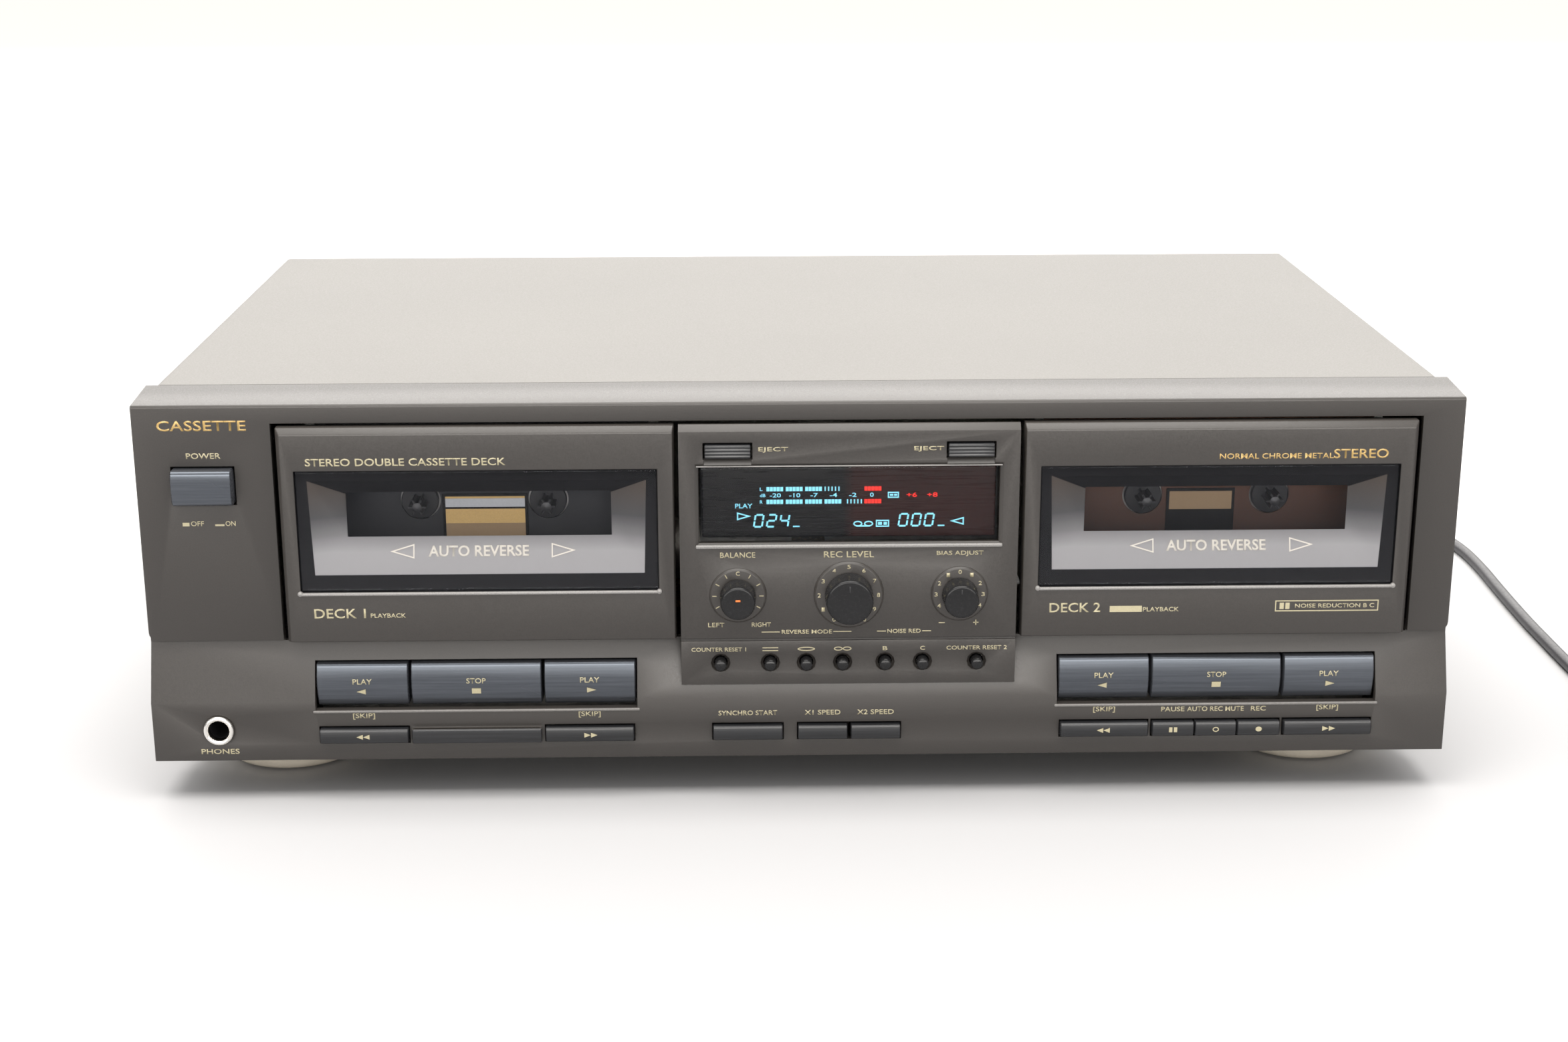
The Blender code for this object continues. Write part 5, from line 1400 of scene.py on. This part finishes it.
    def make_counters(self):
        made = [self.digit(value, 0.0172 + index * 0.0042, 0.0040) for index, value in enumerate("024")]
        made += [self.digit("0", 0.0644 + index * 0.0042, 0.0040) for index in range(3)]
        made.append(self.bar(0.0303, 0.0022, 0.0041, 0.0004))
        made.append(self.bar(0.0776, 0.0022, 0.0041, 0.0004))
        return made

    def make_signs(self):
        made = [self.word("PLAY", 0.0143, 0.0114, 0.0056, 0.0015)]
        depth = self.face - 0.0001
        arrow = (0.0046, 0.0027)
        signs = [(3, 0.0136, 0.0079, arrow, RIGHTWARDS), (3, 0.0846, 0.0058, arrow, LEFTWARDS)]
        signs += [(16, x, 0.0051, (0.0030, 0.0019), 0) for x in (0.0515, 0.0550)]
        for corners, x, z, size, turn in signs:
            made.append(add_sign(corners, at(self.left + x, depth, self.base + z), size, turn, 0.0004))
        made.append(self.bar(0.0510, 0.0045, 0.0041, 0.0004))
        made += self.frame_of(0.0574, 0.0040, 0.0043, 0.0023)
        return made


class DECK_OT_knobs(bpy.types.Operator):
    """Turn the three knobs with fine grip flutes and an index mark"""

    bl_idname = "deck.knobs"
    bl_label = "Knobs"

    flute = 0.00016

    def execute(self, context):
        for node in ("balance_knob", "record_level_knob", "bias_knob"):
            self.make_knob(node)
        return {"FINISHED"}

    def make_knob(self, node):
        low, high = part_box(node)
        centre = middle(node)
        radius = (high.x - low.x) / 2
        face = 0.0009
        skirt = 0.0079
        profile = [(0.0003, 0.00030), (radius * 0.55, 0.00018), (radius - face - 0.0003, 0.00002)]
        for step in range(1, 6):
            angle = math.radians(90 * step / 6)
            profile.append((radius - face - 0.0003 + face * math.sin(angle), face * (1 - math.cos(angle))))
        profile += [(radius - 0.0002, face + 0.0003), (radius, skirt)]
        profile += [(0.0030, skirt), (0.0030, high.y - low.y)]
        knob = add_turned(f"{node}_shell", profile, (centre.x, low.y, centre.z), sides=120, angle=40)

        def in_flute(vertex):
            x, z = vertex.co.x - centre.x, vertex.co.z - centre.z
            on_grip = math.hypot(x, z) > radius - 0.00035 and vertex.co.y > low.y + face
            return on_grip and round(math.degrees(math.atan2(z, x)) / 3) % 2 == 1

        with editing(knob) as bm:
            choose(knob, bm.verts, in_flute)
            share = 1 - self.flute / radius
            bpy.ops.transform.resize(value=(share, 1, share), center_override=centre)
        body = f"{node}_body"
        fit(knob, body, "key_plastic", "knob_finish")
        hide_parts(node)
        mark_z = (centre.z + radius * 0.12, centre.z + radius * 0.12 + 0.0006)
        half = 0.0008
        front = low.y - FACE_Y
        if node != "balance_knob":
            mark_z = (centre.z + radius * 0.45, centre.z + radius * 0.72)
            half = 0.00025
        mark_x = (centre.x - half, centre.x + half)
        mark = add_block(f"{node}_mark", mark_x, (front + 0.00002, front + 0.0006), mark_z, 0.0001)
        colour = "orange_finish" if node == "balance_knob" else "black_finish"
        fit(mark, body, "key_plastic", colour)


class DECK_OT_buttons(bpy.types.Operator):
    """Turn the small round buttons with their domed faces"""

    bl_idname = "deck.buttons"
    bl_label = "Small buttons"

    nodes = (
        "counter_reset_button_1",
        "one_way_button",
        "both_sides_button",
        "continuous_button",
        "noise_b_button",
        "noise_c_button",
        "counter_reset_button_2",
    )

    def execute(self, context):
        dome = 0.0009
        low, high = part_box(self.nodes[0])
        radius = (high.x - low.x) / 2
        profile = [(0.0002, 0.0)]
        for step in range(1, 8):
            angle = math.radians(90 * step / 7)
            profile.append((radius * math.sin(angle), dome * (1 - math.cos(angle))))
        profile += [(radius, 0.0100), (0.0008, 0.0100)]
        cap = add_turned("cap", profile, (0, 0, 0), sides=48, angle=60)
        for node in self.nodes:
            centre = middle(node)
            button = again(cap, (centre.x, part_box(node)[0].y, centre.z), name=f"{node}_cap")
            fit(button, f"{node}_body", "key_plastic", "knob_finish")
            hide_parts(node)
        bpy.data.objects.remove(cap)
        return {"FINISHED"}


class DECK_OT_keys(bpy.types.Operator):
    """Finish the brushed keys"""

    bl_idname = "deck.keys"
    bl_label = "Keys"

    nodes = (
        *(f"{name}_{deck}" for deck in (1, 2) for name in (
            "play_reverse_key", "stop_key", "play_forward_key", "rewind_key", "fast_forward_key", "eject_key"
        )),
        "pause_key",
        "record_mute_key",
        "record_key",
        "synchro_key",
        "speed_1_key",
        "speed_2_key",
        "power_key",
    )

    def execute(self, context):
        for node in self.nodes:
            key = copy_node(node, f"{node}_cap", angle=42)
            broad = "play" in node or "stop" in node or "power" in node
            fit(key, f"{node}_body", "key_plastic", "key_painted_sheen" if broad else "thin_key_plain_finish")
        return {"FINISHED"}


class DECK_OT_phones_jack(bpy.types.Operator):
    """Turn the headphone socket: plated ring round a dark bore"""

    bl_idname = "deck.phones_jack"
    bl_label = "Headphone socket"

    def execute(self, context):
        low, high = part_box("phones_jack")
        centre = middle("phones_jack")
        radius = (high.x - low.x) / 2
        bore = 0.0033
        deep = high.y - low.y
        profile = [(bore, 0.0012), (bore + 0.0002, 0.0005), (bore + 0.0007, 0.0), (radius - 0.0006, 0.0)]
        profile += [(radius - 0.0001, 0.0004), (radius, 0.0010), (radius - 0.0006, 0.0014)]
        profile += [(radius - 0.0010, 0.0020), (radius - 0.0010, 0.0030), (bore, 0.0030), (bore, 0.0012)]
        spot = (centre.x, low.y, centre.z)
        ring = add_turned("phones_socket_ring", profile, spot, sides=SIDES, ring=True, angle=50)
        fit(ring, CASE, "nickel", "nickel_finish")
        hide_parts("phones_jack")
        wall = 0.0008
        tube = [(bore, 0.0031), (bore + wall, 0.0031), (bore + wall, deep), (0.0006, deep)]
        tube += [(0.0006, deep - wall), (bore, deep - wall), (bore, 0.0031)]
        sleeve = add_turned("phones_socket_sleeve", tube, spot, sides=SMALL_SIDES, ring=True)
        fit(sleeve, CASE, "black_plastic", "black_finish")
        return {"FINISHED"}


# Printed legends


def words_on(name, body, painted_reflection, rows, depth):
    """One piece of printing on a flat front face."""
    return fit(join(name, add_rows(rows, depth)), body, "panel_plastic", painted_reflection)


class DECK_OT_case_print(bpy.types.Operator):
    """Print the legends of the front panel"""

    bl_idname = "deck.case_print"
    bl_label = "Panel legends"

    small = 0.0017

    def execute(self, context):
        power = middle("power_key")
        low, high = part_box("power_key")
        under = low.z - 0.0068
        rows = [
            ("POWER", power.x + 0.0006, high.z + 0.0041, 0.0111, 0.0019),
            ("OFF", power.x - 0.0029, under, 0.0042, self.small),
            ("ON", power.x + 0.0078, under, 0.0033, self.small),
        ]
        upper = add_rows(rows, 0)
        for x, width, height in ((-0.0066, 0.0022, 0.0012), (0.0043, 0.0030, 0.0006)):
            spot = at(power.x + x, 0, under - (self.small - height) / 2)
            upper.append(add_sign(4, spot, (width, height), SQUARE))
        fit(join("panel_upper_print", upper), CASE, "panel_plastic", "print_finish")
        mark = [("CASSETTE", power.x + 0.0006, 0.1277, 0.0286, 0.0034)]
        words_on("panel_mark", CASE, "gold_finish", mark, 0)
        self.print_strip()
        return {"FINISHED"}

    def print_strip(self):
        row_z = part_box("synchro_key")[1].z + 0.0040
        phones = middle("phones_jack")
        rows = [("PHONES", phones.x, phones.z - 0.0075, 0.0126, 0.0018)]
        for deck in (1, 2):
            for key in ("rewind_key", "fast_forward_key"):
                rows.append(("[SKIP]", middle(f"{key}_{deck}").x, row_z, 0.0073, 0.0022))
        wide = {
            "synchro_key": ("SYNCHRO START", 0.0195),
            "speed_1_key": ("X1 SPEED", 0.0119),
            "speed_2_key": ("X2 SPEED", 0.0122),
            "pause_key": ("PAUSE", 0.0078),
            "record_mute_key": ("AUTO REC MUTE", 0.0190),
            "record_key": ("REC", 0.0050),
        }
        for key, (text, width) in wide.items():
            rows.append((text, middle(key).x, row_z, width, self.small))
        words_on("panel_strip_print", CASE, "print_finish", rows, -STRIP_PROUD)


class DECK_OT_door_print(bpy.types.Operator):
    """Print the legends of the doors and of the silver masks"""

    bl_idname = "deck.door_print"
    bl_label = "Door legends"

    def execute(self, context):
        for number in (1, 2):
            low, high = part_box(f"door_{number}")
            glass_low, glass_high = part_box(f"door_window_{number}")
            left = glass_low.x + 0.0037
            above, below = glass_high.z + 0.0033, glass_low.z - 0.0075
            rows = [(f"DECK {number}", left + 0.0084, below, 0.0168, 0.0033)]
            body = f"door_{number}_body"
            if number == 1:
                rows.append(("PLAYBACK", left + 0.0241, below - 0.0008, 0.0115, 0.0015))
                rows.append(("STEREO DOUBLE CASSETTE DECK", left + 0.0321, above, 0.0642, 0.0025))
                words_on("door_1_print", body, "print_finish", rows, -PANEL_PROUD)
            else:
                rows.append(("PLAYBACK", left + 0.0368, below - 0.0008, 0.0119, 0.0015))
                self.print_second(body, rows, left, above, below, glass_high.x)
            self.print_mask(number, body, glass_low, glass_high)
        return {"FINISHED"}

    def print_second(self, body, rows, left, above, below, right):
        rows.append(("NOISE REDUCTION B C", right - 0.0183, below, 0.0262, 0.0014))
        pieces = add_rows(rows, -PANEL_PROUD)
        for x, z, size, line in (
            (left + 0.0252, below - 0.0006, (0.0106, 0.0021), 0),
            (right - 0.0209, below, (0.0342, 0.0038), 0.00035),
            (right - 0.0358, below, (0.0014, 0.0022), 0),
            (right - 0.0339, below, (0.0014, 0.0022), 0),
        ):
            pieces.append(add_sign(4, at(x, -PANEL_PROUD, z), size, SQUARE, line))
        fit(join("door_2_print", pieces), body, "panel_plastic", "print_finish")
        gold = [
            ("NORMAL CHROME METAL", right - 0.0404, above, 0.0370, 0.0018),
            ("STEREO", right - 0.0130, above + 0.0006, 0.0178, 0.0031),
        ]
        words_on("door_2_gold_print", body, "gold_finish", gold, -PANEL_PROUD)

    def print_mask(self, number, body, low, high):
        """Arrow, words, arrow along the lower silver bevel, which slopes back."""
        mask_low = low.z + 0.0050
        run = 0.0122
        deep = 0.0022 + 0.0017
        tilt = math.degrees(math.atan2(deep, run))
        share = 0.60
        centre = (low + high) / 2
        arrows, word = {1: (0.0010, -0.0004), 2: (0.0022, 0.0004)}[number]
        depth = -0.0017 + deep * share
        z = mask_low + run * share
        lift = 0.00025
        pieces = []
        for x, turn in ((-0.0250, LEFTWARDS), (0.0250, RIGHTWARDS)):
            spot = at(centre.x + arrows + x, depth - lift, z)
            pieces.append(add_sign(3, spot, (0.0079, 0.0048), turn, 0.0004, -tilt))
        spot = at(centre.x + word, depth - lift, z)
        pieces.append(add_words("word", "AUTO REVERSE", spot, (0.0328, 0.0037), -tilt, weight=0.022))
        fit(join(f"mask_{number}_print", pieces), body, "panel_plastic", "mask_print_painted_glow")


class DECK_OT_centre_print(bpy.types.Operator):
    """Print the legends and dial scales of the centre panel"""

    bl_idname = "deck.centre_print"
    bl_label = "Centre legends"

    def execute(self, context):
        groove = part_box("door_1")[0].z
        eject = {n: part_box(f"eject_key_{n}") for n in (1, 2)}
        eject_z = middle("eject_key_1").z + 0.0004
        caption = groove + 0.0292
        buttons = groove - 0.0034
        noise_x = (middle("noise_b_button").x + middle("noise_c_button").x) / 2
        rows = [
            ("EJECT", eject[1][1].x + 0.0073, eject_z, 0.0096, 0.0018),
            ("EJECT", eject[2][0].x - 0.0063, eject_z, 0.0096, 0.0018),
            ("BALANCE", middle("balance_knob").x, caption, 0.0115, 0.0019),
            ("REC LEVEL", middle("record_level_knob").x, caption, 0.0164, 0.0022),
            ("BIAS ADJUST", middle("bias_knob").x, caption, 0.0153, 0.0019),
            ("LEFT", middle("balance_knob").x - 0.0072, groove + 0.0052, 0.0054, 0.0015),
            ("RIGHT", middle("balance_knob").x + 0.0076, groove + 0.0052, 0.0063, 0.0015),
            ("COUNTER RESET 1", middle("counter_reset_button_1").x - 0.0006, buttons, 0.0180, 0.0014),
            ("COUNTER RESET 2", middle("counter_reset_button_2").x, buttons, 0.0200, 0.0014),
            ("REVERSE MODE", middle("both_sides_button").x + 0.0002, groove + 0.0026, 0.0166, 0.0014),
            ("NOISE RED", noise_x, groove + 0.0026, 0.0110, 0.0014),
            ("B", middle("noise_b_button").x, buttons, 0.0016, 0.0014),
            ("C", middle("noise_c_button").x, buttons, 0.0016, 0.0014),
        ]
        pieces = add_rows(rows, -PANEL_PROUD)
        pieces += self.make_lines(groove + 0.0026)
        pieces += self.make_signs(groove, buttons)
        fit(join("centre_print", pieces), CASE, "panel_plastic", "print_finish")
        self.print_dials()
        return {"FINISHED"}

    def line(self, x, z, width, height=0.00028):
        return add_sign(4, at(x, -PANEL_PROUD, z), (width, height), SQUARE)

    def make_lines(self, z):
        """Bracket lines beside the group captions."""
        made = []
        for node_a, node_b, text_half, half in (
            ("one_way_button", "continuous_button", 0.0088, 0.0148),
            ("noise_b_button", "noise_c_button", 0.0060, 0.0089),
        ):
            centre = (middle(node_a).x + middle(node_b).x) / 2
            length = half - text_half
            for side in (-1, 1):
                made.append(self.line(centre + side * (text_half + length / 2), z, length))
        return made

    def make_signs(self, groove, z):
        """Reverse mode signs over their buttons, and the signs beside the bias dial."""
        made = []
        bias = middle("bias_knob").x
        made.append(self.line(bias - 0.0056, groove + 0.0054, 0.0020, 0.0003))
        made.append(self.line(bias + 0.0056, groove + 0.0054, 0.0018, 0.0003))
        made.append(self.line(bias + 0.0056, groove + 0.0054, 0.0003, 0.0018))
        x = middle("one_way_button").x
        for shift in (-0.0005, 0.0005):
            made.append(self.line(x, z + shift, 0.0052))
        for node, loops in (("both_sides_button", 1), ("continuous_button", 2)):
            x = middle(node).x
            for index in range(loops):
                width = 0.0058 / loops
                place_x = x + (index - (loops - 1) / 2) * width
                made.append(add_sign(20, at(place_x, -PANEL_PROUD, z), (width, 0.0014), 0, 0.0003))
        return made

    def print_dials(self):
        """Figures and marks round the knobs, printed on the raised dials."""
        depth = -PANEL_PROUD - 0.0011
        made = []
        for step in range(11):
            made.append(self.figure("record_level_knob", 0.0097, -150 + 30 * step, str(step), depth))
        for step in range(9):
            made.append(self.figure("bias_knob", 0.0077, -120 + 30 * step, str(abs(step - 4)), depth))
        for step in range(9):
            made.append(self.tick("balance_knob", 0.0077, -120 + 30 * step, depth))
        fit(join("dial_print", made), CASE, "panel_plastic", "print_finish")

    def spot(self, node, radius, turn, depth):
        centre = middle(node)
        angle = math.radians(turn)
        return at(centre.x + radius * math.sin(angle), depth, centre.z + radius * math.cos(angle))

    def figure(self, node, radius, turn, text, depth):
        width = 0.0011 if len(text) == 1 else 0.0017
        return add_words("figure", text, self.spot(node, radius, turn, depth), (width, 0.0014))

    def tick(self, node, radius, turn, depth):
        """A short mark that points at the dial's centre."""
        if turn == 0:
            return add_words("figure", "C", self.spot(node, radius, turn, depth), (0.0013, 0.0014))
        bpy.ops.mesh.primitive_plane_add(size=1)
        piece = bpy.context.object
        piece.scale = (0.00028, 0.0014, 1)
        piece.rotation_euler = (0, 0, math.radians(-turn))
        settle(piece, "tick")
        return print_on(piece, "tick", self.spot(node, radius, turn, depth))


class DECK_OT_key_print(bpy.types.Operator):
    """Print the legends of the keys"""

    bl_idname = "deck.key_print"
    bl_label = "Key legends"

    def execute(self, context):
        for deck in (1, 2):
            for key in ("play_reverse_key", "stop_key", "play_forward_key"):
                self.print_big(f"{key}_{deck}", "STOP" if key == "stop_key" else "PLAY")
            self.print_thin(f"rewind_key_{deck}", ((-0.0011, 3, LEFTWARDS), (0.0011, 3, LEFTWARDS)))
            self.print_thin(f"fast_forward_key_{deck}", ((-0.0011, 3, RIGHTWARDS), (0.0011, 3, RIGHTWARDS)))
        self.print_thin("pause_key", ((-0.0008, 4, SQUARE), (0.0008, 4, SQUARE)))
        self.print_thin("record_mute_key", ((0.0, 24, 0),), 0.0003)
        self.print_thin("record_key", ((0.0, 24, 0),))
        return {"FINISHED"}

    def face_depth(self, low, high, z):
        """Depth and tilt of a big key's swelling face at a height."""
        bulge = 0.0012
        rounding = 0.0013
        share = (z - low.z - rounding) / (high.z - low.z - 2 * rounding)
        depth = low.y - FACE_Y + bulge * (2 * share - 1) ** 2
        slope = 4 * bulge * (2 * share - 1) / (high.z - low.z - 2 * rounding)
        return depth, math.degrees(math.atan(slope))

    def print_big(self, node, text):
        low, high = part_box(node)
        centre = (low + high) / 2
        height = high.z - low.z
        lift = 0.00010
        pieces = []
        z = low.z + height * 0.60
        depth, tilt = self.face_depth(low, high, z)
        pieces.append(add_words("word", text, at(centre.x, depth - lift, z), (0.0064, 0.0018), -tilt))
        z = low.z + height * 0.36
        depth, tilt = self.face_depth(low, high, z)
        corners, turn = (4, SQUARE) if "stop" in node else (3, LEFTWARDS if "reverse" in node else RIGHTWARDS)
        pieces.append(add_sign(corners, at(centre.x, depth - lift, z), (0.0030, 0.0019), turn, tilt=-tilt))
        fit(join(f"{node}_print", pieces), f"{node}_body", "key_plastic", "print_finish")

    def print_thin(self, node, signs, line=0.0):
        low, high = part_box(node)
        centre = (low + high) / 2
        depth = low.y - FACE_Y
        height = 0.0017
        pieces = []
        for shift, corners, turn in signs:
            width = 0.0011 if turn == SQUARE else 0.0021
            spot = at(centre.x + shift, depth, centre.z)
            pieces.append(add_sign(corners, spot, (width, height), turn, line))
        fit(join(f"{node}_print", pieces), f"{node}_body", "key_plastic", "print_finish")


class DECK_PT_looks(bpy.types.Panel):
    """Buttons that build each group of pieces"""

    bl_idname = "DECK_PT_looks"
    bl_label = "Cassette Deck"
    bl_space_type = "VIEW_3D"
    bl_region_type = "UI"
    bl_category = "Deck"

    def draw(self, context):
        column = self.layout.column()
        for step in STEPS:
            column.operator(step.bl_idname)
        for key in DeckColours.__annotations__:
            column.prop(context.scene.deck_colours, key)
        for key in DeckSizes.__annotations__:
            column.prop(context.scene.deck_sizes, key)


STEPS = (
    DECK_OT_finishes,
    DECK_OT_stage,
    DECK_OT_lead,
    DECK_OT_front_panel,
    DECK_OT_cover,
    DECK_OT_chassis,
    DECK_OT_feet,
    DECK_OT_doors,
    DECK_OT_wells,
    DECK_OT_inner_parts,
    DECK_OT_centre_panel,
    DECK_OT_display,
    DECK_OT_knobs,
    DECK_OT_buttons,
    DECK_OT_keys,
    DECK_OT_phones_jack,
    DECK_OT_case_print,
    DECK_OT_door_print,
    DECK_OT_centre_print,
    DECK_OT_key_print,
)
CLASSES = (DeckColours, DeckSizes, *STEPS, DECK_PT_looks)


def register():
    for item in CLASSES:
        bpy.utils.register_class(item)
    bpy.types.Scene.deck_colours = PointerProperty(type=DeckColours)
    bpy.types.Scene.deck_sizes = PointerProperty(type=DeckSizes)


def unregister():
    del bpy.types.Scene.deck_sizes
    del bpy.types.Scene.deck_colours
    for item in reversed(CLASSES):
        bpy.utils.unregister_class(item)


def main():
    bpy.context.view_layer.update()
    register()
    bpy.ops.object.select_all(action="DESELECT")
    for step in STEPS:
        group, action = step.bl_idname.split(".")
        getattr(getattr(bpy.ops, group), action)()


if __name__ == "__main__":
    main()
